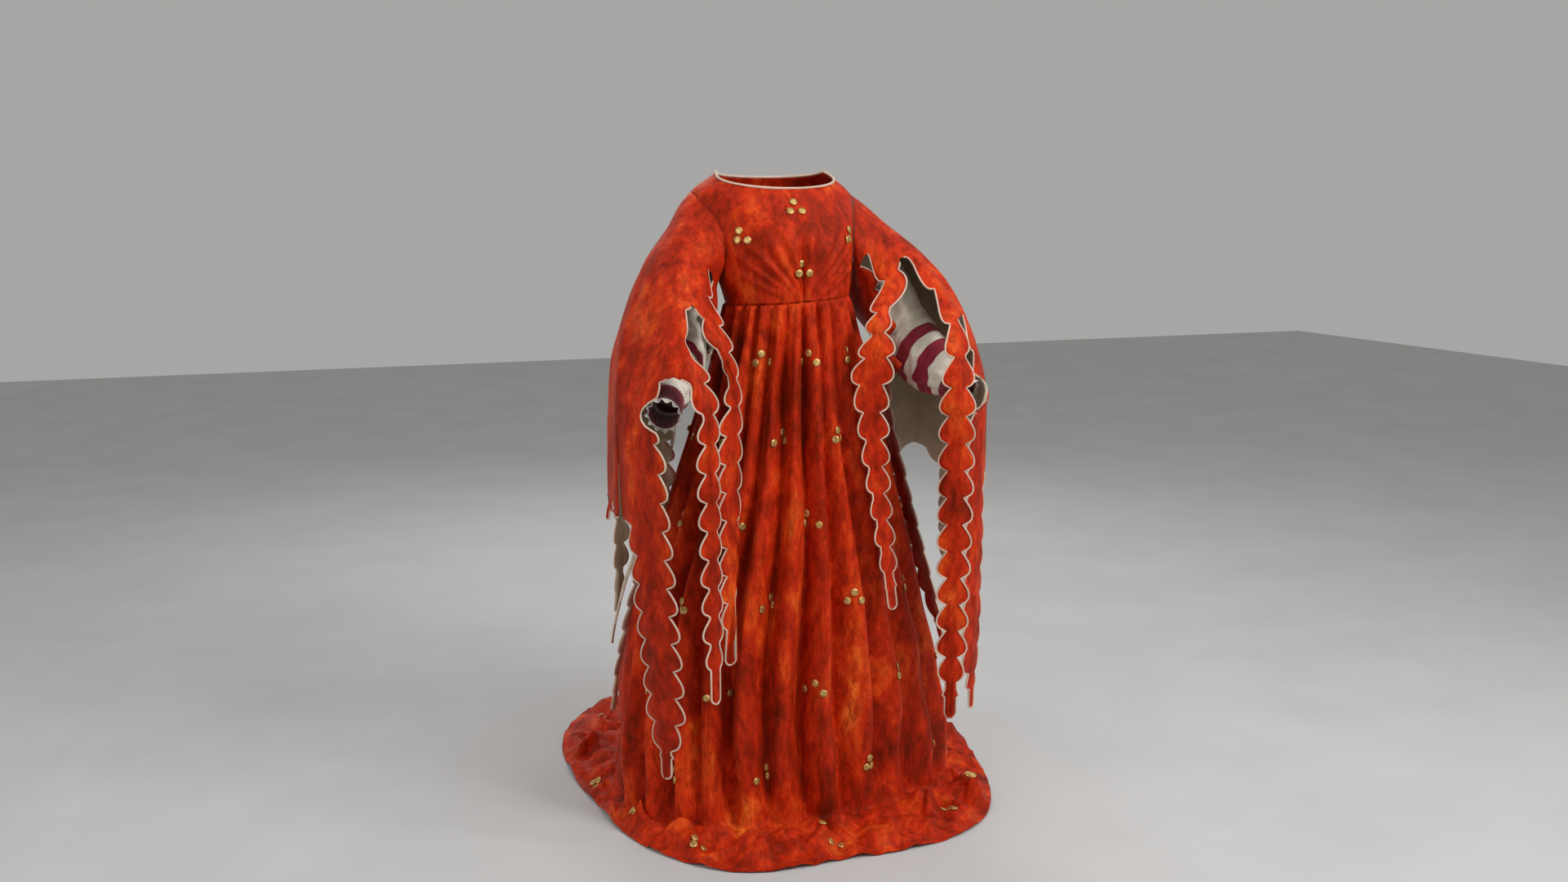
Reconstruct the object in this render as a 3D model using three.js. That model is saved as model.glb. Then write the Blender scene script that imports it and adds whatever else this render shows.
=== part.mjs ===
// A stage gown in crushed velvet: fitted bodice, gathered skirt with a train that lies on the floor all
// round, and two bell sleeves slashed into long dagged streamers over striped undersleeves. Millimetres, +Z up.
// The wearer faces -Y and their left hand is at +X. Heights are first measured from the floor, and the
// outer group then brings the origin up to the middle of the neck opening.
import * as THREE from "three";

// ---- driving sizes ----
const NECK_HEIGHT = 1450; // floor to the neck points, on a figure 1.75 m tall
const VELVET = 2.2; // cloth walls
const COTTON = 1.6;
const SEAM_GAP = 0.3;
const LINING_GAP = 0.8; // between a velvet wall and the lining inside it
const WAIST = { height: 1171, tilt: 9 }; // the seam rises towards the wearer's left
const SHOULDER_HEIGHT = 1405;
const UNDERARM_HEIGHT = 1235;
const NECK = { frontDrop: 40, backDrop: 14, curve: 12 }; // curve keeps the rows level below the neck
const BINDING = { width: 5, thick: 4, out: 1, up: 0.9 };
const ARMHOLE = { front: 30, back: 26 }; // how far the armhole curves in from the side, degrees
const ARMHOLE_STOPS = [0, 20, 38, 55, 72, 93, 115, 147.5, 180, 210, 240, 270, 300, 330, 360];
const UNDERARM = 180; // the turn at the bottom of the armhole
const TUCK = { depth: 9, width: 9, top: 1310, fade: 60 }; // the dart pleat down the centre front
const BODICE_COLUMNS = [0, 0.07, 0.2, 0.36, 0.52, 0.68, 0.84, 1]; // shares of the way from centre to side
const BODICE_LOW_ROW = 1203; // between the waist and the underarm
const SHOULDER_LEAN = 0.9; // how far the cloth faces up at the neck

// The torso, ring by ring: half width, and depths to the front and back of the ring's centre.
const TORSO = [
  { z: 1150, x: 10, y: -50, half: 137, front: 114, back: 109 },
  { z: 1235, x: 7, y: -35, half: 155, front: 127, back: 116 },
  { z: 1300, x: 4, y: -14, half: 170, front: 147, back: 120 },
  { z: 1350, x: 2, y: 8, half: 183, front: 146, back: 108 },
  { z: 1405, x: 0, y: 40, half: 184, front: 131, back: 70 },
  { z: 1450, x: 0, y: 32, half: 126, front: 88, back: 58 },
];

// The falling part of the skirt. left and right are the wearer's own.
const SKIRT = [
  { z: 1190, x: 10, y: -50, left: 136, right: 136, front: 113, back: 108, fold: 0 },
  { z: 1150, x: 10, y: -50, left: 142, right: 142, front: 118, back: 114, fold: 7 },
  { z: 1000, x: 10, y: -48, left: 182, right: 172, front: 132, back: 152, fold: 13 },
  { z: 850, x: 8, y: -46, left: 221, right: 214, front: 147, back: 190, fold: 16 },
  { z: 708, x: 5, y: -45, left: 256, right: 256, front: 160, back: 234, fold: 20 },
  { z: 489, x: 0, y: -40, left: 318, right: 318, front: 182, back: 312, fold: 24 },
  { z: 269, x: 0, y: -40, left: 374, right: 352, front: 196, back: 390, fold: 26 },
  { z: 110, x: 0, y: -40, left: 398, right: 366, front: 206, back: 462, fold: 22 },
  { z: 34, x: 0, y: -40, left: 410, right: 376, front: 222, back: 520, fold: 14 },
];
// How far the hem reaches over the floor from the axis, by degrees round from the front to the wearer's left.
const HEM = [
  { at: -180, reach: 764 },
  { at: -162, reach: 754 },
  { at: -146, reach: 681 },
  { at: -134, reach: 602 },
  { at: -120, reach: 512 },
  { at: -97, reach: 430 },
  { at: -75, reach: 420 },
  { at: -56, reach: 429 },
  { at: -30, reach: 443 },
  { at: 0, reach: 407 },
  { at: 18, reach: 433 },
  { at: 46, reach: 501 },
  { at: 72, reach: 512 },
  { at: 89, reach: 529 },
  { at: 108, reach: 587 },
  { at: 135, reach: 668 },
  { at: 160, reach: 742 },
  { at: 180, reach: 764 },
];
// The skirt's folds, by degrees round the waist and depth as a share of the ring's own fold depth.
const FOLDS = [
  { at: -171, depth: 0.9 },
  { at: -154, depth: 1.1 },
  { at: -137, depth: 0.9 },
  { at: -119, depth: 1.1 },
  { at: -101, depth: 0.8 },
  { at: -84, depth: 1.0 },
  { at: -67, depth: 0.9 },
  { at: -51, depth: 1.1 },
  { at: -38, depth: 0.8 },
  { at: -24, depth: 1.2 },
  { at: -9, depth: 1.0 },
  { at: 4, depth: 1.2 },
  { at: 19, depth: 0.8 },
  { at: 33, depth: 0.9 },
  { at: 49, depth: 0.7 },
  { at: 66, depth: 0.9 },
  { at: 84, depth: 0.8 },
  { at: 102, depth: 1.0 },
  { at: 119, depth: 0.9 },
  { at: 136, depth: 1.1 },
  { at: 153, depth: 0.9 },
  { at: 171, depth: 1.0 },
];
const FOLD_STOPS = 4; // columns to a fold
const NORMALS = { z: 400, step: 0.5 }; // the height whose folds turn the cloth's wall, and a small angle
const FALL_HEIGHTS = [1145, 1050, 920, 760, 590, 420, 250, 110, 34];
const TRAIN_SHARES = [0.35, 0.7, 1]; // rows over the floor, from where the skirt lands to the hem
const TRAIN = { lift: 2.6, least: 24, wrinkle: 27, waves: 23, turn: 5, drift: 9 };
const UPTURN = { before: 1.5, after: 0.8 }; // rows over which the cloth turns over to lie on the floor
// The skirt's panels, between seams given by the fold they run beside.
const SKIRT_PANELS = [
  { name: "skirt_back_right", from: 0, to: 4 },
  { name: "skirt_side_right", from: 4, to: 8 },
  { name: "skirt_front", from: 8, to: 14 },
  { name: "skirt_side_left", from: 14, to: 18 },
  { name: "skirt_back_left", from: 18, to: 22 },
];

// Each bell sleeve, section by section down the arm. across and deep are half sizes, and tilt turns the
// section from upright at the armhole to level at the hand. x runs outwards from the wearer's middle.
// Each strip's row gives its slash's start, its tip, and the hanging places of its two edges: x1, y1 on the
// side towards the outer seam going round by the front, and x2, y2 on the other. swing moves the tip.
// slides holds a slash further open round one height: each moves a strip's two edges and its middle towards the
// second edge.
const SLEEVES = {
  left: {
    side: 1,
    slides: [
      { strip: "outerFront", z: 985, over: 78, first: 0, middle: -20, second: -50 },
      { strip: "bodyFront", z: 1140, over: 100, first: 84, middle: 52, second: 0 },
      { strip: "bodyFront", z: 1170, over: 60, first: 0, middle: 8, second: 30 },
    ],
    sections: [
      { z: 1320, x: 172, y: 8, across: 85, deep: 80, tilt: 5 },
      { z: 1275, x: 205, y: 0, across: 82, deep: 96, tilt: 36 },
      { z: 1215, x: 246, y: -22, across: 100, deep: 122, tilt: 49 },
      { z: 1130, x: 280, y: -56, across: 112, deep: 158, tilt: 60 },
      { z: 1050, x: 296, y: -84, across: 112, deep: 184, tilt: 72 },
      { z: 960, x: 300, y: -100, across: 112, deep: 196, tilt: 84 },
      { z: 900, x: 300, y: -104, across: 112, deep: 200, tilt: 90 },
    ],
    strips: [
      { name: "outerFront", slash: 790, tip: 246, x1: 418, y1: -226, x2: 340, y2: -292, swing: -6 },
      { name: "handFront", slash: 1112, tip: 250, x1: 330, y1: -322, x2: 278, y2: -300, swing: -4 },
      { name: "bodyFront", slash: 1240, tip: 490, x1: 180, y1: -206, x2: 110, y2: -186, swing: 14 },
      { name: "innerBack", slash: 1290, tip: 330, x1: 248, y1: -76, x2: 262, y2: -4, swing: 0 },
      { name: "back", slash: 820, tip: 190, x1: 284, y1: 56, x2: 318, y2: 96, swing: 0 },
      { name: "outerBack", slash: 800, tip: 420, x1: 456, y1: 66, x2: 472, y2: 4, swing: 0 },
      { name: "outer", slash: 790, tip: 690, x1: 472, y1: -18, x2: 438, y2: -196, swing: 0 },
    ],
  },
  right: {
    side: -1,
    slides: [
      { strip: "outerFront", z: 985, over: 60, first: 0, middle: -30, second: -60 },
      { strip: "handFront", z: 1110, over: 50, first: 0, middle: -14, second: -44 },
      { strip: "bodyFront", z: 1030, over: 80, first: 50, middle: 22, second: 0 },
    ],
    sections: [
      { z: 1320, x: 172, y: 8, across: 85, deep: 80, tilt: 5 },
      { z: 1270, x: 192, y: 2, across: 84, deep: 98, tilt: 28 },
      { z: 1200, x: 220, y: -18, across: 98, deep: 130, tilt: 44 },
      { z: 1120, x: 240, y: -45, across: 106, deep: 165, tilt: 58 },
      { z: 1040, x: 262, y: -75, across: 108, deep: 195, tilt: 72 },
      { z: 950, x: 276, y: -96, across: 110, deep: 205, tilt: 84 },
      { z: 880, x: 280, y: -100, across: 110, deep: 208, tilt: 90 },
    ],
    strips: [
      { name: "outerFront", slash: 730, tip: 180, x1: 410, y1: -222, x2: 352, y2: -300, swing: -46 },
      { name: "handFront", slash: 1032, tip: 352, x1: 274, y1: -322, x2: 236, y2: -304, swing: -8 },
      { name: "bodyFront", slash: 1158, tip: 408, x1: 208, y1: -244, x2: 154, y2: -208, swing: 0 },
      { name: "innerBack", slash: 1262, tip: 380, x1: 236, y1: 0, x2: 236, y2: 66, swing: 0 },
      { name: "back", slash: 840, tip: 150, x1: 196, y1: 140, x2: 250, y2: 150, swing: 0 },
      { name: "outerBack", slash: 800, tip: 440, x1: 318, y1: 134, x2: 356, y2: 100, swing: 0 },
      { name: "outer", slash: 740, tip: 700, x1: 384, y1: 60, x2: 414, y2: -130, swing: 0 },
    ],
  },
};
const FRONT_STRIPS = 3; // the rest are in the sleeve's back half
// Between these heights the bell turns into strips that hang straight down, sooner beside a high slash.
const SETTLING = { from: 1240, over: 300, to: 940 };
const SLEEVE_HEAD = 1306; // the first row under the armhole seam
const HEAD_DROP = 70; // the bell follows the armhole's own shape over this drop
const STRIP_BOW = 7; // how far a strip's middle stands out of its edges
const LOBE = { pitch: 60, depth: 21, shoulder: 0.62, end: 0.84 }; // one dag of the cut edge
const SLASH_OPENING = 90; // a slash opens to its full width over this drop
const SLASH_TOP = { inset: 13, over: 160 }; // how far back the dags are set at the top of a slash
const FINGER = { length: 47, width: 26 }; // the rounded end of a streamer
// How far a sleeve keeps from what it hangs on, growing over a drop below the armhole and below the waist.
const CLEARANCE = { bodice: 5, skirt: 15, over: 30, fade: 350, soft: 0.05 };
const FOLD_MARGIN = 1.2; // the deepest fold as a share of the ring's own fold depth
const ARM_CLEARANCE = { margin: 11, from: 0.4, full: 1.2, step: 0.1 };

// The undersleeve's arm line, with the half height of the tube at each place. The cuff is between 4 and 5.
const ARMS = {
  left: [
    { at: 0, x: 168, y: 8, z: 1320, r: 56 },
    { at: 1, x: 242, y: -28, z: 1222, r: 44 },
    { at: 2, x: 284, y: -78, z: 1096, r: 64 },
    { at: 3, x: 316, y: -150, z: 1026, r: 64 },
    { at: 4, x: 340, y: -206, z: 990, r: 38 },
    { at: 5, x: 358, y: -250, z: 966, r: 34 },
  ],
  right: [
    { at: 0, x: 168, y: 8, z: 1320, r: 56 },
    { at: 1, x: 228, y: -24, z: 1216, r: 43 },
    { at: 2, x: 250, y: -82, z: 1084, r: 62 },
    { at: 3, x: 288, y: -156, z: 1016, r: 62 },
    { at: 4, x: 314, y: -210, z: 982, r: 38 },
    { at: 5, x: 334, y: -256, z: 956, r: 36 },
  ],
};
Object.entries(ARMS).forEach(([name, arm]) => {
  SLEEVES[name].arm = arm;
});
const ARM_MIDDLE = { y: 8, z: 1320 }; // of the armhole
const ARMHOLE_GAP = 2; // how far out of the armhole's edge the sleeve's edge is
const ARMHOLE_LEAN = 0.2; // how far the cloth's thickness leans out of the armhole, as a slope
const ARMPIT = { stand: 22, over: 0.3 }; // how far the undersleeve keeps from the body, by place down the arm
const UNDERSLEEVE_GAP = 6; // between the undersleeve and the lining at the armhole
const UNDERSLEEVE_OUT = 2.5; // how much further out of the armhole its edge is than the sleeve's
const ARMHOLE_HOLD = 0.5; // how far down the arm the undersleeve still follows the armhole
const ARM_FLATNESS = 0.92;
const SAG = { share: 0.08, from: 1.2, to: 2.4 }; // the cloth's extra drop under the forearm
const ARM_STEP = 0.05; // a small part of the way from one place to the next
const UPPER_STOPS = [0, 0.35, 0.8, 1.4, 2.1];
const LOWER_STOPS = [2.104, 2.5, 3, 3.5, 4];
const CUFF = { stops: [4.006, 4.4, 4.8], thick: 2.4 };
const FRILL = { stops: [4.806, 5], sides: 28, depth: 3 };
const FRILL_TURNS = Array.from({ length: FRILL.sides }, (_, i) => (i * 360) / FRILL.sides);
const LINING = { from: 700, inset: 0.5 }; // its lower edge's height, and how far it keeps from the seams

// ---- materials ----
const velvet = () => new THREE.MeshStandardMaterial({ color: 0xb92c10, roughness: 0.7, metalness: 0 });
const lining = () => new THREE.MeshStandardMaterial({ color: 0xb8a88c, roughness: 0.85, metalness: 0 });
const cotton = () => new THREE.MeshStandardMaterial({ color: 0xf2ecdc, roughness: 0.85, metalness: 0 });
const crimson = () => new THREE.MeshStandardMaterial({ color: 0x7d1030, roughness: 0.75, metalness: 0 });
const cord = () => new THREE.MeshStandardMaterial({ color: 0xecd2bf, roughness: 0.8, metalness: 0 });

// ---- small helpers ----
const { degToRad: rad, lerp, smoothstep } = THREE.MathUtils;
const sin = (degrees) => Math.sin(rad(degrees));
const cos = (degrees) => Math.cos(rad(degrees));

// One column of a table at a place between its rows, on a smooth curve through them.
function read(table, key, name, at) {
  const rising = table[table.length - 1][key] > table[0][key];
  const past = (row) => (rising ? row[key] >= at : row[key] <= at);
  const found = table.findIndex(past);
  const i = Math.min(Math.max(found < 0 ? table.length - 1 : found, 1), table.length - 1);
  const [a, b] = [table[i - 1], table[i]];
  const [before, after] = [table[Math.max(i - 2, 0)], table[Math.min(i + 1, table.length - 1)]];
  const span = b[key] - a[key];
  const t = THREE.MathUtils.clamp((at - a[key]) / span, 0, 1);
  const slopeA = ((b[name] - before[name]) / (b[key] - before[key])) * span;
  const slopeB = ((after[name] - a[name]) / (after[key] - a[key])) * span;
  const [t2, t3] = [t * t, t * t * t];
  const start = (2 * t3 - 3 * t2 + 1) * a[name] + (t3 - 2 * t2 + t) * slopeA;
  return start + (3 * t2 - 2 * t3) * b[name] + (t3 - t2) * slopeB;
}

// A cloth wall under construction: outer points with their normals, and the faces between them. A face may be
// marked with the part it belongs to, so that parts cut from one cloth meet at a seam.
class Wall {
  constructor(thickness) {
    this.thickness = thickness;
    this.points = [];
    this.normals = [];
    this.faces = [];
    this.keys = new Map();
  }

  point(key, position, normal) {
    if (!this.keys.has(key)) {
      this.keys.set(key, this.points.length);
      this.points.push(position);
      this.normals.push(normal);
    }
    return this.keys.get(key);
  }

  face(corners, part) {
    if (new Set(corners).size === 3) this.faces.push({ corners, part });
  }

  quad(a, b, c, d) {
    this.face([a, b, c], "");
    this.face([a, c, d], "");
  }

  // Fills a whole grid, where at gives the point in a column and a row.
  grid(columns, rows, at) {
    for (let i = 0; i < columns; i++) {
      for (let j = 0; j < rows; j++) this.quad(at(i, j), at(i + 1, j), at(i + 1, j + 1), at(i, j + 1));
    }
  }

  // Fills between two chains of points that run down side by side. Each chain's points hold their own height.
  stitch(left, right, part) {
    let [i, j] = [0, 0];
    while (i < left.length - 1 || j < right.length - 1) {
      const leftNext = j === right.length - 1 || (i < left.length - 1 && left[i + 1].z >= right[j + 1].z);
      const next = leftNext ? left[i + 1].point : right[j + 1].point;
      this.face([left[i].point, right[j].point, next], part);
      if (leftNext) i += 1;
      else j += 1;
    }
  }

  faceNormal([a, b, c]) {
    const along = this.points[b].clone().sub(this.points[a]);
    return along.cross(this.points[c].clone().sub(this.points[a]));
  }

  // Works the normals out from the faces. sense is -1 where the faces were made turned inwards.
  findNormals(sense) {
    this.normals = this.points.map(() => new THREE.Vector3());
    for (const { corners } of this.faces) {
      for (const corner of corners) this.normals[corner].addScaledVector(this.faceNormal(corners), sense);
    }
    this.normals.forEach((normal) => normal.normalize());
  }

  // Turns the cloth's edge off the armhole in one row of points, so that the wall stays beside it.
  squareOff(row) {
    for (const [key, point] of this.keys) {
      const lean = -Math.sign(this.points[point].x) * ARMHOLE_LEAN;
      if (key.endsWith(`|${row}`)) this.normals[point].setX(lean).normalize();
    }
  }

  // Turns the faces to agree with the normals.
  orient() {
    const agrees = ({ corners }) => this.faceNormal(corners).dot(this.normals[corners[0]]);
    const agreement = this.faces.reduce((sum, face) => sum + agrees(face), 0);
    if (agreement < 0) this.faces.forEach((face) => face.corners.reverse());
  }

  // Draws the points that a part shares with another part back from the seam, square to it.
  partedPoints(part, gap) {
    const own = this.faces.filter((face) => face.part === part);
    const others = new Set(this.faces.filter((face) => face.part !== part).flatMap((face) => face.corners));
    const shared = new Map();
    for (const { corners } of own) {
      for (const a of corners.filter((corner) => others.has(corner))) {
        if (!shared.has(a)) shared.set(a, { pull: new THREE.Vector3(), seam: new Set() });
        const { pull, seam } = shared.get(a);
        for (const b of corners.filter((corner) => corner !== a)) {
          if (others.has(b)) seam.add(b);
          else pull.add(this.points[b]).sub(this.points[a]);
        }
      }
    }
    return this.points.map((p, i) => {
      if (!shared.has(i)) return p;
      const { pull, seam } = shared.get(i);
      const [b, c = i] = seam;
      const along = this.points[b].clone().sub(this.points[c]).normalize();
      return p.clone().addScaledVector(pull.projectOnPlane(along).normalize(), gap);
    });
  }

  // The closed solid of one part: outer faces, inner faces one thickness in, and a strip round every open edge.
  // depth sets the whole wall further in, gap is its distance from the middle of a seam, and lowest cuts it off.
  geometry({ part = "", depth = 0, gap = SEAM_GAP, lowest = -Infinity } = {}) {
    this.orient();
    const high = ({ corners }) => corners.every((i) => this.points[i].z > lowest);
    const faces = this.faces.filter((face) => face.part === part && high(face)).map((face) => face.corners);
    const used = [...new Set(faces.flat())];
    const place = new Map(used.map((point, i) => [point, i]));
    const outer = this.partedPoints(part, gap);
    const set = (inset) => used.map((i) => outer[i].clone().addScaledVector(this.normals[i], -inset));
    const edges = new Set(faces.flatMap(([a, b, c]) => [`${a}_${b}`, `${b}_${c}`, `${c}_${a}`]));
    const index = [];
    const number = ([point, inner]) => place.get(point) + inner * used.length;
    const push = (...corners) => index.push(...corners.map(number));
    for (const [a, b, c] of faces) {
      push([a, 0], [b, 0], [c, 0], [a, 1], [c, 1], [b, 1]);
      for (const [p, q] of [[a, b], [b, c], [c, a]]) {
        if (!edges.has(`${q}_${p}`)) push([q, 0], [p, 0], [p, 1], [q, 0], [p, 1], [q, 1]);
      }
    }
    const geometry = new THREE.BufferGeometry();
    geometry.setFromPoints([...set(depth), ...set(depth + this.thickness)]);
    geometry.setIndex(index);
    geometry.computeVertexNormals();
    return geometry;
  }
}

const gown = new THREE.Group();
gown.position.z = -NECK_HEIGHT;

function add(name, geometry, material) {
  const mesh = new THREE.Mesh(geometry, material);
  mesh.name = name;
  gown.add(mesh);
}

// ---- bodice ----
const waistHeight = (angle) => WAIST.height + WAIST.tilt * sin(angle);

// The torso at a number of degrees round from the front towards the wearer's left.
function torso(angle, z) {
  const ring = (name) => read(TORSO, "z", name, z);
  const depth = cos(angle) > 0 ? ring("front") : ring("back");
  const x = ring("x") + ring("half") * sin(angle);
  const tuck = Math.exp(-((x - ring("x")) ** 2) / TUCK.width ** 2) * smoothstep(TUCK.top - z, 0, TUCK.fade);
  const y = ring("y") - depth * cos(angle) + (cos(angle) > 0 ? TUCK.depth * tuck : 0);
  return new THREE.Vector3(x, y, z);
}

// The armhole, by degrees round from the shoulder by the front. The angle is from the front to its own side.
function armhole(turn) {
  const middle = (SHOULDER_HEIGHT + UNDERARM_HEIGHT) / 2;
  const half = (SHOULDER_HEIGHT - UNDERARM_HEIGHT) / 2;
  const reach = sin(turn) > 0 ? ARMHOLE.front : ARMHOLE.back;
  return { angle: 90 - reach * sin(turn), z: middle + half * cos(turn) };
}

// A point of the armhole's edge on either side, with x running outwards.
function armholeEdge(turn, side) {
  const { angle, z } = armhole(turn);
  const p = torso(side * angle, z);
  p.x *= side;
  return p;
}

// A half front's or half back's rows where they meet the side, the armhole and the shoulder, from the waist up.
function bodiceRows(front, foot) {
  const own = (turn) => (front ? turn <= UNDERARM : turn >= UNDERARM);
  const row = (turn) => ({ ...armhole(turn), seam: turn % UNDERARM === 0 });
  const stops = ARMHOLE_STOPS.filter(own).map(row);
  if (front) stops.reverse();
  const level = (z) => ({ angle: 90, z, seam: true });
  return [foot, BODICE_LOW_ROW].map(level).concat(stops, level(NECK_HEIGHT));
}

// A point of the neck's edge, by share of the way from the centre front or back to the shoulder.
function neckEdge(side, front, share) {
  const drop = front ? NECK.frontDrop : NECK.backDrop;
  return torso(side * lerp(front ? 0 : 180, 90, share), NECK_HEIGHT - drop * cos(90 * share));
}

// Neighbouring halves part by a seam gap at the side, the shoulder and the centre.
function bodiceHalf(side, front) {
  const centre = front ? 0 : 180;
  const inset = SEAM_GAP / 2;
  const foot = (share) => waistHeight(side * lerp(centre, 90, share)) + SEAM_GAP;
  const rows = bodiceRows(front, foot(1));
  const wall = new Wall(VELVET);
  const at = (i, j) => {
    const share = BODICE_COLUMNS[i];
    const up = (rows[j].z - foot(1)) / (NECK_HEIGHT - foot(1));
    const tilt = (foot(share) - foot(1)) * (1 - up);
    const drop = (neckEdge(side, front, share).z - NECK_HEIGHT) * up ** NECK.curve;
    const p = torso(side * lerp(centre, rows[j].angle, share), rows[j].z + tilt + drop);
    const normal = torsoNormal(p);
    if (share === 0) p.x += side * inset;
    if (share === 1 && rows[j].seam) p.y += front ? -inset : inset;
    return wall.point(`${i}|${j}`, p, normal);
  };
  wall.grid(BODICE_COLUMNS.length - 1, rows.length - 1, at);
  return wall.geometry();
}

// Straight out from the torso's middle line, leaning with the shoulder slope near the top.
function torsoNormal(p) {
  const out = new THREE.Vector3(p.x, p.y - read(TORSO, "z", "y", p.z), 0).normalize();
  return out.setZ(SHOULDER_LEAN * smoothstep(p.z, UNDERARM_HEIGHT, NECK_HEIGHT)).normalize();
}

// A square band that stands on the neck's edge, round from the wearer's left shoulder by the front.
function neckBinding() {
  const quarters = [[1, true], [-1, true], [-1, false], [1, false]];
  const loop = quarters.flatMap(([side, front], quarter) => {
    const shares = quarter % 2 ? BODICE_COLUMNS : [...BODICE_COLUMNS].reverse();
    return shares.slice(0, -1).map((share) => neckEdge(side, front, share));
  });
  const middle = loop.reduce((sum, p) => sum.add(p), new THREE.Vector3()).divideScalar(loop.length);
  const corners = [[0, 0], [1, 0], [1, 1], [0, 1]];
  const points = loop.flatMap((p) => {
    const inward = middle.clone().sub(p).setZ(0).normalize();
    return corners.map(([across, up]) => {
      const corner = p.clone().addScaledVector(inward, across * BINDING.thick - BINDING.out);
      return corner.setZ(corner.z + BINDING.up + up * BINDING.width);
    });
  });
  const index = [];
  loop.forEach((_, i) => {
    const next = (i + 1) % loop.length;
    corners.forEach((__, c) => {
      const [a, b] = [i * corners.length + c, i * corners.length + ((c + 1) % corners.length)];
      const [d, e] = [a, b].map((point) => point + (next - i) * corners.length);
      index.push(a, e, b, a, d, e);
    });
  });
  const geometry = new THREE.BufferGeometry().setFromPoints(points);
  geometry.setIndex(index);
  return geometry;
}

// ---- skirt ----
// How far a place round the skirt stands out of its ring, from -1 in a valley to 1 on a fold.
function foldWave(angle) {
  const turned = ((angle - FOLDS[0].at + 2 * 360) % 360) + FOLDS[0].at;
  let i = FOLDS.findIndex((fold, k) => k > 0 && fold.at > turned);
  if (i < 0) i = FOLDS.length;
  const a = FOLDS[i - 1];
  const b = i < FOLDS.length ? FOLDS[i] : { at: FOLDS[0].at + 360, depth: FOLDS[0].depth };
  const share = (turned - a.at) / (b.at - a.at);
  return Math.cos(2 * Math.PI * share) * lerp(a.depth, b.depth, share);
}

function skirtRing(angle, z, fold = foldWave(angle)) {
  const ring = (name) => read(SKIRT, "z", name, z);
  const across = sin(angle) > 0 ? ring("left") : ring("right");
  const depth = cos(angle) > 0 ? ring("front") : ring("back");
  const out = 1 + (ring("fold") * fold) / Math.hypot(across * sin(angle), depth * cos(angle));
  return new THREE.Vector3(ring("x") + across * sin(angle) * out, ring("y") - depth * cos(angle) * out, z);
}

// The skirt by degrees round and by row: 0 at the waist, then each fall height, then over the floor.
const LANDING_ROW = FALL_HEIGHTS.length;
function skirt(angle, row) {
  if (row <= LANDING_ROW) {
    const heights = [waistHeight(angle), ...FALL_HEIGHTS];
    const i = Math.min(Math.max(Math.floor(row), 0), LANDING_ROW - 1);
    const z = lerp(heights[i], heights[i + 1], row - i);
    return skirtRing(angle, Math.min(z, waistHeight(angle)));
  }
  const landing = skirtRing(angle, FALL_HEIGHTS[LANDING_ROW - 1]);
  const bearing = (Math.atan2(landing.x, -landing.y) * 180) / Math.PI;
  const reach = read(HEM, "at", "reach", bearing);
  const shares = [0, ...TRAIN_SHARES];
  const i = Math.min(Math.floor(row - LANDING_ROW), TRAIN_SHARES.length - 1);
  const share = lerp(shares[i], shares[i + 1], row - LANDING_ROW - i);
  const landed = Math.hypot(landing.x, landing.y);
  const r = lerp(landed, Math.max(reach, landed + TRAIN.least), share);
  const crease = cos(bearing * TRAIN.waves) * Math.cos(share * TRAIN.turn + bearing / TRAIN.drift);
  const wrinkle = TRAIN.wrinkle * (0.5 + 0.5 * crease) * share * (1 - share);
  const z = TRAIN.lift + landing.z * (1 - share) ** 3 + wrinkle;
  return new THREE.Vector3(r * sin(bearing), -r * cos(bearing), z);
}

// Seen from outside, angle runs to the wearer's left and row runs down.
function skirtPanel({ from, to }) {
  const angles = [];
  for (let k = from; k < to; k++) {
    const next = k + 1 < FOLDS.length ? FOLDS[k + 1].at : FOLDS[0].at + 360;
    for (let s = 0; s < FOLD_STOPS; s++) angles.push(lerp(FOLDS[k].at, next, s / FOLD_STOPS));
  }
  const last = to < FOLDS.length ? FOLDS[to].at : FOLDS[0].at + 360;
  const rows = LANDING_ROW + TRAIN_SHARES.length;
  const wall = new Wall(VELVET);
  const stops = [...angles, last];
  const at = (i, row) => {
    const p = skirt(stops[i], row);
    const normal = skirtNormal(stops[i], row);
    const along = new THREE.Vector3(cos(stops[i]), sin(stops[i]), 0);
    if (i === 0) p.addScaledVector(along, SEAM_GAP / 2);
    if (i === stops.length - 1) p.addScaledVector(along, -SEAM_GAP / 2);
    return wall.point(`${i}|${row}`, p, normal);
  };
  wall.grid(stops.length - 1, rows, at);
  return wall.geometry();
}

// Level where the skirt falls, as the folds run at one height, and straight up where it lies on the floor.
function skirtNormal(angle, row) {
  const level = smoothstep(row, LANDING_ROW - UPTURN.before, LANDING_ROW + UPTURN.after);
  const { z } = NORMALS;
  const along = skirtRing(angle + NORMALS.step, z).sub(skirtRing(angle - NORMALS.step, z));
  const out = new THREE.Vector3(along.y, -along.x, 0).normalize();
  return out.lerp(new THREE.Vector3(0, 0, 1), level).normalize();
}

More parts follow.
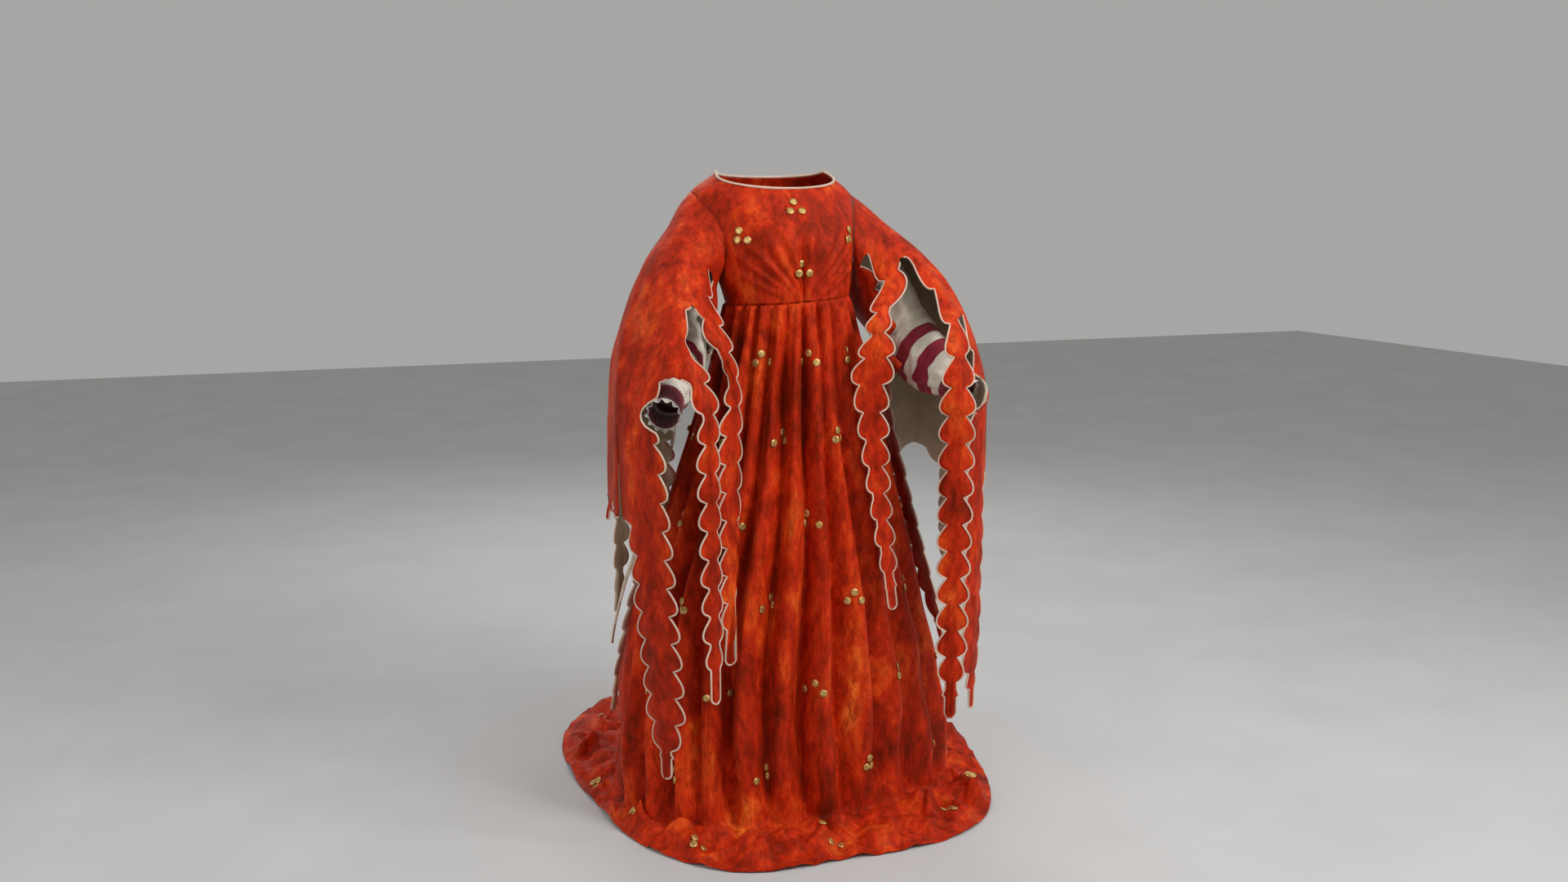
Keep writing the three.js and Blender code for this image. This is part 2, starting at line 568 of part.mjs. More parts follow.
// ---- sleeves ----
// Moves a point straight out of the body's way, where the bodice or the skirt is the body. margin is the least
// distance, and soft rounds off where the cloth leaves what it lies on.
function clearOfBody(p, margin, soft) {
  const onSkirt = p.z < WAIST.height;
  const z = onSkirt ? Math.max(p.z, FALL_HEIGHTS[LANDING_ROW - 1]) : Math.min(p.z, NECK_HEIGHT);
  const ring = (name) => read(onSkirt ? SKIRT : TORSO, "z", name, z);
  const centre = new THREE.Vector2(ring("x"), ring("y"));
  const out = new THREE.Vector2(p.x, p.y).sub(centre);
  const sideways = out.x > 0 ? "left" : "right";
  const across = ring(onSkirt ? sideways : "half");
  const depth = ring(out.y < 0 ? "front" : "back");
  const stand = margin + (onSkirt ? ring("fold") * FOLD_MARGIN : 0);
  const level = Math.hypot(out.x / (across + stand), out.y / (depth + stand));
  const kept = (level + 1 + Math.sqrt((level - 1) ** 2 + soft ** 2)) / 2;
  out.multiplyScalar(kept / level);
  return new THREE.Vector3(centre.x + out.x, centre.y + out.y, p.z);
}

// Moves a point of a sleeve out of the way of the arm inside it.
function clearOfArm(p, arm, side) {
  const place = (at, name) => read(arm, "at", name, at);
  let nearest = { gap: Infinity };
  for (let at = ARM_CLEARANCE.from; at <= arm.length - 1; at += ARM_CLEARANCE.step) {
    const axis = new THREE.Vector3(side * place(at, "x"), place(at, "y"), place(at, "z"));
    const gap = axis.distanceTo(p) - place(at, "r");
    if (gap < nearest.gap) nearest = { gap, axis, at };
  }
  const needed = ARM_CLEARANCE.margin * smoothstep(nearest.at, ARM_CLEARANCE.from, ARM_CLEARANCE.full);
  if (nearest.gap >= needed) return p;
  return p.clone().addScaledVector(p.clone().sub(nearest.axis).normalize(), needed - nearest.gap);
}

// A point of a sleeve's cloth, clear of the arm inside it and of the body beside it.
function settle(p, sleeve, z) {
  const below = smoothstep(sleeve.sections[0].z - z, 0, CLEARANCE.over);
  const clear = below > 0 ? clearOfArm(p, sleeve.arm, sleeve.side) : p;
  const hanging = smoothstep(WAIST.height - p.z, 0, CLEARANCE.fade);
  const margin = lerp(ARMHOLE_GAP, lerp(CLEARANCE.bodice, CLEARANCE.skirt, hanging), below);
  return clearOfBody(clear, margin, CLEARANCE.soft * below);
}

// A sleeve's own section, by degrees round from the outside by the front. At the top it follows the armhole.
function bell(sleeve, turn, z) {
  const value = (name, at) => read(sleeve.sections, "z", name, at);
  const ring = (at) => {
    const out = value("across", at) * cos(turn);
    const tilt = value("tilt", at);
    const y = value("y", at) - value("deep", at) * sin(turn);
    return new THREE.Vector3(value("x", at) + sin(tilt) * out, y, at + cos(tilt) * out);
  };
  const top = sleeve.sections[0].z;
  const edge = armholeEdge(turn, sleeve.side);
  const hold = 1 - smoothstep(top - z, 0, HEAD_DROP);
  const p = ring(z).addScaledVector(edge.clone().sub(ring(top)), hold);
  p.x = Math.max(p.x, edge.x) + ARMHOLE_GAP;
  return p;
}

// A sleeve's surface at a stop of the armhole and a hanging place, by section height.
function sleevePoint(sleeve, stop, hanging, z, slash = 0) {
  const whole = Math.min(Math.floor(stop), ARMHOLE_STOPS.length - 2);
  const turn = lerp(ARMHOLE_STOPS[whole], ARMHOLE_STOPS[whole + 1], stop - whole);
  const from = Math.max(slash, SETTLING.from);
  const settled = smoothstep(from - z, 0, SETTLING.over);
  const p = bell(sleeve, turn, Math.max(z, SETTLING.to)).setZ(bell(sleeve, turn, z).z);
  p.lerp(new THREE.Vector3(hanging.x, hanging.y, z), settled);
  p.x *= sleeve.side;
  return p;
}

// The section heights of a sleeve's rows: three to each lobe of the cut edge.
function sleeveRows(sleeve) {
  const start = Math.max(...sleeve.strips.map((strip) => strip.slash));
  const lowest = Math.min(...sleeve.strips.map((strip) => strip.tip));
  const rows = [sleeve.sections[0].z, SLEEVE_HEAD].map((z) => ({ z, lobe: 0 }));
  for (let lobe = 0; start - lobe * LOBE.pitch > lowest; lobe++) {
    [0, LOBE.shoulder, LOBE.end].forEach((share, i) => {
      rows.push({ z: start - (lobe + share) * LOBE.pitch, lobe: i });
    });
  }
  return rows;
}

// A strip's two edges, each with its own hanging place and the one it shares with its neighbour above the slash.
function stripEdges(sleeve, s) {
  const { strips } = sleeve;
  const strip = strips[s];
  const before = strips[(s + strips.length - 1) % strips.length];
  const next = strips[(s + 1) % strips.length];
  const first = new THREE.Vector2(strip.x1, strip.y1);
  const second = new THREE.Vector2(strip.x2, strip.y2);
  const sharedFirst = new THREE.Vector2(before.x2, before.y2).lerp(first, 0.5);
  const sharedSecond = new THREE.Vector2(next.x1, next.y1).lerp(second, 0.5);
  return [
    { stop: 2 * s, own: first, shared: sharedFirst, slash: strip.slash },
    { stop: 2 * s + 2, own: second, shared: sharedSecond, slash: next.slash },
  ];
}

// Moves a strip's points along its width where the sleeve's slides say so.
function slide(sleeve, strip, z, [first, middle, second]) {
  const along = second.p.clone().sub(first.p).normalize();
  for (const row of sleeve.slides.filter((entry) => entry.strip === strip.name)) {
    const near = Math.exp(-(((z - row.z) / row.over) ** 2));
    first.p.addScaledVector(along, row.first * near * first.free);
    middle.p.addScaledVector(along, row.middle * near * middle.free);
    second.p.addScaledVector(along, row.second * near * second.free);
  }
}

// The three points of a strip in one row: edge, middle, edge.
function stripRow(sleeve, s, { z, lobe }) {
  const strip = sleeve.strips[s];
  const left = z - strip.tip;
  const swing = strip.swing * smoothstep(SETTLING.to - z, 0, SETTLING.to - strip.tip);
  const edges = stripEdges(sleeve, s).map(({ stop, own, shared, slash }) => {
    const open = Math.sqrt(THREE.MathUtils.clamp((slash - z) / SLASH_OPENING, 0, 1));
    const hanging = { x: lerp(shared.x, own.x, open) + swing, y: lerp(shared.y, own.y, open) };
    return { stop, hanging, slash, parted: z < slash };
  });
  const [a, b] = edges.map((edge) => edge.hanging);
  const out = new THREE.Vector2(b.y - a.y, a.x - b.x).normalize().multiplyScalar(-STRIP_BOW);
  const hanging = { x: (a.x + b.x) / 2 + out.x, y: (a.y + b.y) / 2 + out.y };
  const free = (slash) => smoothstep(slash - z, 0, SLASH_OPENING);
  const middle = { stop: 2 * s + 1, hanging, slash: (edges[0].slash + edges[1].slash) / 2 };
  const columns = [edges[0], middle, edges[1]].map((column) => ({
    ...column,
    p: settle(sleevePoint(sleeve, column.stop, column.hanging, z, column.slash), sleeve, z),
    free: free(column.slash),
  }));
  slide(sleeve, strip, z, columns);
  const centre = settle(columns[1].p, sleeve, z);
  const points = columns.map(({ p, slash, parted }) => {
    if (!parted) return settle(p, sleeve, z);
    const across = p.clone().sub(centre);
    const width = across.length();
    const wave = lobe === 0 ? -LOBE.depth / 2 : LOBE.depth / 2;
    const setBack = SLASH_TOP.inset * (1 - smoothstep(slash - z, 0, SLASH_TOP.over));
    const reach = left < FINGER.length ? FINGER.width / 2 : width + wave - setBack;
    across.setLength(Math.max(reach, FINGER.width / 2));
    return settle(across.add(centre), sleeve, z);
  });
  return { points, parted: edges.map((edge) => edge.parted) };
}

// A whole sleeve as neighbouring strips that part at their slashes. Its faces are marked by half. Every lobe has
// a row right across, and its other rows bend only the cut edges.
function sleeveWall(sleeve) {
  const wall = new Wall(VELVET);
  const rows = sleeveRows(sleeve);
  const stops = sleeve.strips.length * 2;
  sleeve.strips.forEach((strip, s) => {
    const chains = [[], [], []];
    const own = rows.filter((row) => row.z > strip.tip);
    own.forEach((row, j) => {
      const whole = row.lobe === 0 || j === own.length - 1 || row.z < strip.tip + FINGER.length;
      const { points, parted } = stripRow(sleeve, s, row);
      const names = [
        parted[0] ? `${s}a` : `seam${2 * s}`,
        `${s}middle`,
        parted[1] ? `${s}b` : `seam${(2 * s + 2) % stops}`,
      ];
      const wanted = [whole || parted[0], whole, whole || parted[1]];
      points.forEach((p, c) => {
        if (wanted[c]) chains[c].push({ point: wall.point(`${names[c]}|${row.z}`, p), z: row.z });
      });
    });
    const half = s < FRONT_STRIPS ? "front" : "back";
    wall.stitch(chains[0], chains[1], half);
    wall.stitch(chains[1], chains[2], half);
  });
  wall.findNormals(sleeve.side);
  wall.squareOff(rows[0].z);
  return wall;
}

// ---- undersleeves ----
// The tube round the arm, by degrees round from the top and by place down the arm.
function armSurface(arm, side) {
  const place = (at) => {
    const value = (name) => read(arm, "at", name, at);
    return new THREE.Vector3(side * value("x"), value("y"), value("z"));
  };
  const last = arm.length - 1;
  return (turn, t) => {
    const along = place(Math.min(t + ARM_STEP, last)).sub(place(Math.max(t - ARM_STEP, 0))).normalize();
    const across = new THREE.Vector3(0, 0, 1).cross(along).normalize();
    const up = along.clone().cross(across);
    const r = read(arm, "at", "r", t);
    const sag = 1 + SAG.share * Math.max(-cos(turn), 0) * smoothstep(t, SAG.from, SAG.to);
    const raised = place(t).addScaledVector(up, r * cos(turn) * sag);
    return raised.addScaledVector(across, r * ARM_FLATNESS * sin(turn));
  };
}

// The armhole just inside the sleeve that is sewn to it, where the undersleeve is caught in the same seam.
function armholeInside(turn, side) {
  const p = armholeEdge(turn, side);
  const middle = new THREE.Vector3(p.x, ARM_MIDDLE.y, ARM_MIDDLE.z);
  p.addScaledVector(middle.sub(p).normalize(), VELVET + LINING_GAP + COTTON + UNDERSLEEVE_GAP);
  p.x = side * (p.x + ARMHOLE_GAP + UNDERSLEEVE_OUT);
  return p;
}

// A closed tube of cloth round an arm, on the armhole's own stops. swell adds to its radius.
const ARM_TURNS = ARMHOLE_STOPS.slice(0, -1);
function armTube(arm, side, ats, thickness, swell = () => 0, turns = ARM_TURNS) {
  const surface = armSurface(arm, side);
  const wall = new Wall(thickness);
  const at = (i, j) => {
    const turn = -side * turns[i % turns.length];
    const middle = surface(0, ats[j]).add(surface(180, ats[j])).multiplyScalar(0.5);
    const p = surface(turn, ats[j]);
    const out = p.clone().sub(middle).normalize();
    p.addScaledVector(out, swell(i, j));
    p.lerp(armholeInside(turns[i % turns.length], side), 1 - smoothstep(ats[j], 0, ARMHOLE_HOLD));
    const stand = ARMHOLE_GAP + ARMPIT.stand * smoothstep(ats[j], 0, ARMPIT.over);
    return wall.point(`${i % turns.length}|${j}`, clearOfBody(p, stand, 0));
  };
  wall.grid(turns.length, ats.length - 1, at);
  wall.findNormals(side);
  return wall.geometry();
}

// ---- assembly ----
const SIDES = [["right", -1], ["left", 1]];
for (const [name, side] of SIDES) {
  add(`bodice_front_${name}`, bodiceHalf(side, true), velvet());
  add(`bodice_back_${name}`, bodiceHalf(side, false), velvet());
}
add("neck_binding", neckBinding(), cord());
for (const panel of SKIRT_PANELS) add(panel.name, skirtPanel(panel), velvet());
for (const [name, side] of SIDES) {
  const sleeve = SLEEVES[name];
  const cloth = sleeveWall(sleeve);
  add(`sleeve_${name}_front`, cloth.geometry({ part: "front" }), velvet());
  add(`sleeve_${name}_back`, cloth.geometry({ part: "back" }), velvet());
  cloth.thickness = COTTON;
  const inside = { part: "back", depth: VELVET + LINING_GAP, gap: LINING.inset, lowest: LINING.from };
  add(`sleeve_lining_${name}`, cloth.geometry(inside), lining());

  const arm = ARMS[name];
  add(`undersleeve_${name}_upper`, armTube(arm, side, UPPER_STOPS, COTTON), cotton());
  add(`undersleeve_${name}_lower`, armTube(arm, side, LOWER_STOPS, COTTON), crimson());
  add(`cuff_${name}`, armTube(arm, side, CUFF.stops, CUFF.thick), crimson());
  const ruffle = (i, row) => (i % 2 ? FRILL.depth : -FRILL.depth) * row;
  add(`cuff_frill_${name}`, armTube(arm, side, FRILL.stops, COTTON, ruffle, FRILL_TURNS), cotton());
}

export default gown;
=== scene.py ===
"""Dresses the stage gown: crushed velvet with dagged, corded sleeves over striped undersleeves.

All sizes are in metres. Heights are measured from the floor while a piece is worked out, and every mesh is
then lowered by the height of the neck, because the frame's origin is the middle of the neck opening.
"""

import logging
import math
from collections.abc import Callable
from dataclasses import dataclass
from enum import Enum

import bpy
import numpy as np
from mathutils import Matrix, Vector

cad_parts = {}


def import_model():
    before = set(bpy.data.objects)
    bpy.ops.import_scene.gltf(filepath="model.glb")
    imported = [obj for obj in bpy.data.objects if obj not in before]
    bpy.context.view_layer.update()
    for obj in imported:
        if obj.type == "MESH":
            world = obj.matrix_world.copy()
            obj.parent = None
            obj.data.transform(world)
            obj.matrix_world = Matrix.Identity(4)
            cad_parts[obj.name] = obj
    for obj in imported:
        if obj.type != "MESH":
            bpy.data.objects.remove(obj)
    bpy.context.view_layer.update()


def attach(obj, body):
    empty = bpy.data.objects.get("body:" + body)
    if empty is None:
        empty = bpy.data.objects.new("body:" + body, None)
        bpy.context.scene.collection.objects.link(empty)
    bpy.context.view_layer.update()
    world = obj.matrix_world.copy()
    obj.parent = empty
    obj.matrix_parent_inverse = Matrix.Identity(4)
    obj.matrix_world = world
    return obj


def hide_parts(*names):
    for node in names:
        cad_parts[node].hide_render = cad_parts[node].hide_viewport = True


log = logging.getLogger("gown")

NECK_HEIGHT = 1.450
WELD_DISTANCE = 2e-5
RADIAN = 57.3
Array = np.ndarray


# ---------------------------------------------------------------- numbers
def smooth(value: Array, low: float, high: float) -> Array:
    """Goes smoothly from 0 at low to 1 at high."""
    t = np.clip((np.asarray(value, float) - low) / (high - low), 0.0, 1.0)
    return t * t * (3.0 - 2.0 * t)


def mix(a: Array, b: Array, share: Array) -> Array:
    """The place between a and b at a share of the way."""
    return a + (b - a) * share


def sin(degrees: Array) -> Array:
    """Sine of an angle in degrees."""
    return np.sin(np.radians(degrees))


def cos(degrees: Array) -> Array:
    """Cosine of an angle in degrees."""
    return np.cos(np.radians(degrees))


def unit(vectors: Array) -> Array:
    """Vectors of length 1 in the same directions."""
    return vectors / np.maximum(np.linalg.norm(vectors, axis=-1, keepdims=True), 1e-9)


def ripple(u: Array, v: Array, size_u: float, size_v: float, seed: int, waves: int = 9) -> Array:
    """A smooth uneven field, about -1 to 1, made of waves in many directions.

    Args:
        u: First coordinate of each point.
        v: Second coordinate of each point.
        size_u: Distance over which the field changes along u.
        size_v: Distance over which the field changes along v.
        seed: Fixed seed of the waves.
        waves: Number of waves.

    Returns:
        The field at each point.
    """
    rng = np.random.default_rng(seed)
    total = np.zeros(np.broadcast(u, v).shape)
    for _ in range(waves):
        turn, phase, pace = rng.uniform(0, math.pi), rng.uniform(0, 2 * math.pi), rng.uniform(0.6, 1.5)
        total = total + np.cos(
            2 * math.pi * pace * (u / size_u * math.cos(turn) + v / size_v * math.sin(turn)) + phase
        )
    return total / math.sqrt(waves) * 0.8


class Table:
    """Rows of named columns, read on a smooth curve through the rows."""

    def __init__(self, names: str, *rows: tuple[float, ...]) -> None:
        """Keeps the rows.

        Args:
            names: The columns' names, the key first.
            rows: One tuple for each row, sorted by the key.
        """
        values = np.array(rows, float)
        self.sense = 1.0 if values[-1, 0] > values[0, 0] else -1.0
        self.key = values[:, 0] * self.sense
        self.columns = {name: values[:, i] for i, name in enumerate(names.split())}

    def __call__(self, name: str, at: Array) -> Array:
        """The value of a column at places of the key."""
        at = np.asarray(at, float) * self.sense
        key, value, last = self.key, self.columns[name], len(self.key) - 1
        i = np.clip(np.searchsorted(key, at, side="left"), 1, last)
        before, after = np.maximum(i - 2, 0), np.minimum(i + 1, last)
        span = key[i] - key[i - 1]
        t = np.clip((at - key[i - 1]) / span, 0.0, 1.0)
        slope_a = (value[i] - value[before]) / (key[i] - key[before]) * span
        slope_b = (value[after] - value[i - 1]) / (key[after] - key[i - 1]) * span
        t2, t3 = t * t, t * t * t
        start = (2 * t3 - 3 * t2 + 1) * value[i - 1] + (t3 - 2 * t2 + t) * slope_a
        return start + (3 * t2 - 2 * t3) * value[i] + (t3 - t2) * slope_b


# ---------------------------------------------------------------- sizes shared with the solids
TORSO = Table(
    "z x y half front back",
    (1.150, 0.010, -0.050, 0.137, 0.114, 0.109),
    (1.235, 0.007, -0.035, 0.155, 0.127, 0.116),
    (1.300, 0.004, -0.014, 0.170, 0.147, 0.120),
    (1.350, 0.002, 0.008, 0.183, 0.146, 0.108),
    (1.405, 0.000, 0.040, 0.184, 0.131, 0.070),
    (1.450, 0.000, 0.032, 0.126, 0.088, 0.058),
)
SKIRT = Table(
    "z x y left right front back fold",
    (1.190, 0.010, -0.050, 0.136, 0.136, 0.113, 0.108, 0.000),
    (1.150, 0.010, -0.050, 0.142, 0.142, 0.118, 0.114, 0.007),
    (1.000, 0.010, -0.048, 0.182, 0.172, 0.132, 0.152, 0.013),
    (0.850, 0.008, -0.046, 0.221, 0.214, 0.147, 0.190, 0.016),
    (0.708, 0.005, -0.045, 0.256, 0.256, 0.160, 0.234, 0.020),
    (0.489, 0.000, -0.040, 0.318, 0.318, 0.182, 0.312, 0.024),
    (0.269, 0.000, -0.040, 0.374, 0.352, 0.196, 0.390, 0.026),
    (0.110, 0.000, -0.040, 0.398, 0.366, 0.206, 0.462, 0.022),
    (0.034, 0.000, -0.040, 0.410, 0.376, 0.222, 0.520, 0.014),
)
HEM = Table(
    "at reach",
    (-180, 0.764), (-162, 0.754), (-146, 0.681), (-134, 0.602), (-120, 0.512), (-97, 0.430),
    (-75, 0.420), (-56, 0.429), (-30, 0.443), (0, 0.407), (18, 0.433), (46, 0.501),
    (72, 0.512), (89, 0.529), (108, 0.587), (135, 0.668), (160, 0.742), (180, 0.764),
)
FOLDS = np.array(
    [
        (-171, 0.9), (-154, 1.1), (-137, 0.9), (-119, 1.1), (-101, 0.8), (-84, 1.0), (-67, 0.9), (-51, 1.1),
        (-38, 0.8), (-24, 1.2), (-9, 1.0), (4, 1.2), (19, 0.8), (33, 0.9), (49, 0.7), (66, 0.9), (84, 0.8),
        (102, 1.0), (119, 0.9), (136, 1.1), (153, 0.9), (171, 1.0), (189, 0.9),
    ]
)
WAIST_HEIGHT, WAIST_TILT = 1.171, 0.009
SHOULDER_HEIGHT, UNDERARM_HEIGHT = 1.405, 1.235
ARMHOLE_STOPS = np.array([0, 20, 38, 55, 72, 93, 115, 147.5, 180, 210, 240, 270, 300, 330, 360], float)
LANDING = 0.034


def waist_height(angle: Array) -> Array:
    """Height of the waist seam, which rises towards the wearer's left."""
    return WAIST_HEIGHT + WAIST_TILT * sin(angle)


def torso(angle: Array, z: Array) -> Array:
    """The bodice's surface.

    Args:
        angle: Degrees round from the front towards the wearer's left.
        z: Height above the floor.

    Returns:
        A point for each angle and height.
    """
    x = TORSO("x", z) + TORSO("half", z) * sin(angle)
    tuck = np.exp(-(((x - TORSO("x", z)) / 0.009) ** 2)) * smooth(1.310 - np.asarray(z), 0, 0.060)
    front = cos(angle) > 0
    depth = np.where(front, TORSO("front", z), TORSO("back", z))
    y = TORSO("y", z) - depth * cos(angle) + np.where(front, 0.009 * tuck, 0.0)
    return np.stack(np.broadcast_arrays(x, y, z), -1)


def armhole(turn: Array) -> tuple[Array, Array]:
    """The armhole's edge by degrees round from the shoulder by the front.

    Returns:
        The angle from the front to its own side, and the height.
    """
    middle, half = (SHOULDER_HEIGHT + UNDERARM_HEIGHT) / 2, (SHOULDER_HEIGHT - UNDERARM_HEIGHT) / 2
    reach = np.where(sin(turn) > 0, 30.0, 26.0)
    return 90.0 - reach * sin(turn), middle + half * cos(turn)


def armhole_edge(turn: Array, side: int) -> Array:
    """Points of the armhole's edge on either side, with x running outwards."""
    angle, z = armhole(turn)
    return torso(side * angle, z) * np.array([side, 1, 1])


# ---------------------------------------------------------------- Blender helpers
Node, Plug, Tint = bpy.types.Node, bpy.types.NodeSocket, tuple[float, float, float]
Piece, Material = bpy.types.Object, bpy.types.Material


class Socket(Enum):
    """The kinds of socket that the node trees use."""

    NUMBER = "NodeSocketFloat"
    WHOLE = "NodeSocketInt"
    ARROW = "NodeSocketVector"
    SHAPE = "NodeSocketGeometry"
    FINISH = "NodeSocketMaterial"


def put_in_scene(name: str, data: bpy.types.ID) -> Piece:
    """An object of the scene that shows the data."""
    made = bpy.data.objects.new(name, data)
    bpy.context.scene.collection.objects.link(made)
    return made


def make_object(
    name: str, points: Array, faces: list[tuple[int, ...]], edges: list[tuple[int, int]] | tuple[()] = ()
) -> Piece:
    """A mesh object in the row frame from points whose heights are above the floor."""
    mesh = bpy.data.meshes.new(name)
    placed = np.array(points, float).reshape(-1, 3) - np.array([0, 0, NECK_HEIGHT])
    mesh.from_pydata(placed.tolist(), edges, faces)
    mesh.update()
    return put_in_scene(name, mesh)


def path_object(name: str, chains: list[Array], closed: bool = False) -> Piece:
    """A mesh of bare edges along chains of points."""
    edges, count = [], 0
    for chain in chains:
        numbers = range(count, count + len(chain))
        edges += zip(numbers, numbers[1:])
        if closed:
            edges.append((numbers[-1], count))
        count += len(chain)
    return make_object(name, np.concatenate(chains), [], edges)


def grid_faces(rows: int, columns: int, closed: bool = False, start: int = 0) -> list[tuple[int, ...]]:
    """Quads of a grid of points stored row by row.

    Args:
        rows: Number of rows of points.
        columns: Number of points in a row.
        closed: Whether the last column joins the first.
        start: Number of the first point.

    Returns:
        Corner numbers of each quad.
    """
    j, i = np.meshgrid(np.arange(rows - 1), np.arange(columns if closed else columns - 1), indexing="ij")
    k = (i + 1) % columns
    quads = np.stack([j * columns + i, (j + 1) * columns + i, (j + 1) * columns + k, j * columns + k], -1)
    return [tuple(quad) for quad in (quads.reshape(-1, 4) + start).tolist()]


def apply_modifiers(made: Piece) -> None:
    """Turns an object's modifiers into its own plain mesh."""
    graph = bpy.context.evaluated_depsgraph_get()
    mesh = bpy.data.meshes.new_from_object(made.evaluated_get(graph), depsgraph=graph)
    made.modifiers.clear()
    made.data = mesh


def modify(made: Piece, kind: str, **values: float) -> None:
    """Runs one modifier on an object and keeps the result as its mesh."""
    modifier = made.modifiers.new(kind.lower(), kind)
    for name, value in values.items():
        setattr(modifier, name, value)
    apply_modifiers(made)


def point_outwards(made: Piece, inside: Array) -> None:
    """Turns every face over if most of them look inwards.

    Args:
        made: The cloth before it gets its thickness.
        inside: A point, with its height above the floor, that the cloth goes round.
    """
    mesh = made.data
    middle = np.array(inside, float) - np.array([0, 0, NECK_HEIGHT])
    centres, normals = np.zeros((2, len(mesh.polygons) * 3))
    mesh.polygons.foreach_get("center", centres)
    mesh.polygons.foreach_get("normal", normals)
    away = (centres.reshape(-1, 3) - middle) * np.array([1, 1, 0.2])
    if (away * normals.reshape(-1, 3)).sum() < 0:
        mesh.flip_normals()


def thicken(made: Piece, thickness: float, depth: float = 0.0) -> None:
    """Gives a cloth its wall, inwards.

    Args:
        made: The cloth's outer surface.
        thickness: Thickness of the wall.
        depth: How far the whole wall is set in.
    """
    if depth:
        modify(made, "DISPLACE", strength=-depth, mid_level=0.0)
    modify(made, "SOLIDIFY", thickness=thickness, offset=-1.0)


def dress(made: Piece, finish: Material, slot: str, replaces: tuple[str, ...] = ()) -> None:
    """Gives a piece its finish and ties it to the frame."""
    mesh = made.data
    mesh.materials.clear()
    mesh.materials.append(finish)
    mesh.polygons.foreach_set("use_smooth", [True] * len(mesh.polygons))
    mesh.update()
    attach(made, "root")
    if replaces:
        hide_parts(*replaces)
    log.info("%s: %d faces", made.name, len(mesh.polygons))


def add_uv(made: Piece, places: Array) -> None:
    """Adds a UV map from a place for each point."""
    layer = made.data.uv_layers.new(name="cloth")
    corners = np.zeros(len(made.data.loops), int)
    made.data.loops.foreach_get("vertex_index", corners)
    layer.data.foreach_set("uv", np.asarray(places, float)[corners].ravel())


# ---------------------------------------------------------------- materials
class Tree:
    """Short ways to build a node tree."""

    def __init__(self, tree: bpy.types.NodeTree) -> None:
        """Keeps the tree that the nodes go into."""
        self.tree = tree

    def node(self, kind: str, sockets: dict[str | int, object] | None = None, **properties: str) -> Node:
        """A node with its properties set, and its inputs set or linked by name or number."""
        made = self.tree.nodes.new(kind)
        for name, value in properties.items():
            setattr(made, name, value)
        self.fill(made, sockets or {})
        return made

    def fill(self, made: Node, sockets: dict[str | int, object]) -> None:
        """Sets a node's inputs to values, or links them to other nodes' sockets."""
        for key, value in sockets.items():
            if isinstance(value, Plug):
                self.tree.links.new(value, made.inputs[key])
            else:
                made.inputs[key].default_value = value

    def place(self) -> Plug:
        """Object coordinates."""
        return self.node("ShaderNodeTexCoord").outputs["Object"]

    def noise(self, where: Plug, scale: float | Plug, detail: float, **more: float) -> Node:
        """Noise at a scale."""
        return self.node("ShaderNodeTexNoise", {"Vector": where, "Scale": scale, "Detail": detail, **more})

    def stretch(self, where: Plug, scale: Tint) -> Plug:
        """Coordinates that run faster or slower along each axis."""
        return self.node("ShaderNodeMapping", {"Vector": where, "Scale": scale}).outputs["Vector"]

    def maths(self, operation: str, *values: float | Plug) -> Plug:
        """One sum, product or other operation."""
        return self.node("ShaderNodeMath", dict(enumerate(values)), operation=operation).outputs[0]

    def vector(self, operation: str, *values: Tint | Plug) -> Plug:
        """One operation on vectors."""
        return self.node("ShaderNodeVectorMath", dict(enumerate(values)), operation=operation).outputs[0]

    def ramp(self, share: Plug, *stops: tuple[float, Tint]) -> Plug:
        """Colours by place."""
        made = self.node("ShaderNodeValToRGB", {"Fac": share})
        elements = made.color_ramp.elements
        while len(elements) < len(stops):
            elements.new(0.5)
        for element, (place, colour) in zip(elements, stops):
            element.position = place
            element.color = (*colour, 1.0)
        return made.outputs["Color"]

    def blend(self, share: float | Plug, a: Plug, b: Tint | Plug, kind: str = "MIX") -> Plug:
        """Mixes two colours."""
        second = b if isinstance(b, Plug) else (*b, 1.0)
        sockets = {0: share, 6: a, 7: second}
        return self.node("ShaderNodeMix", sockets, data_type="RGBA", blend_type=kind).outputs[2]

    def bump(self, height: Plug, strength: float, distance: float) -> Plug:
        """Normals of a surface with a height."""
        sockets = {"Height": height, "Strength": strength, "Distance": distance}
        return self.node("ShaderNodeBump", sockets).outputs["Normal"]


def make_group(name: str, inputs: dict[str, float], outputs: tuple[str, ...]) -> tuple[Tree, object, Node]:
    """A new shader node group with a place and numbers in, and numbers out.

    Returns:
        The tree, the sockets that bring its inputs in, and the node that takes its outputs.
    """
    group = bpy.data.node_groups.new(name, "ShaderNodeTree")
    group.interface.new_socket("Place", in_out="INPUT", socket_type=Socket.ARROW.value)
    for key, value in inputs.items():
        group.interface.new_socket(key, in_out="INPUT", socket_type=Socket.NUMBER.value).default_value = value
    for key in outputs:
        group.interface.new_socket(key, in_out="OUTPUT", socket_type=Socket.NUMBER.value)
    tree = Tree(group)
    return tree, tree.node("NodeGroupInput").outputs, tree.node("NodeGroupOutput")


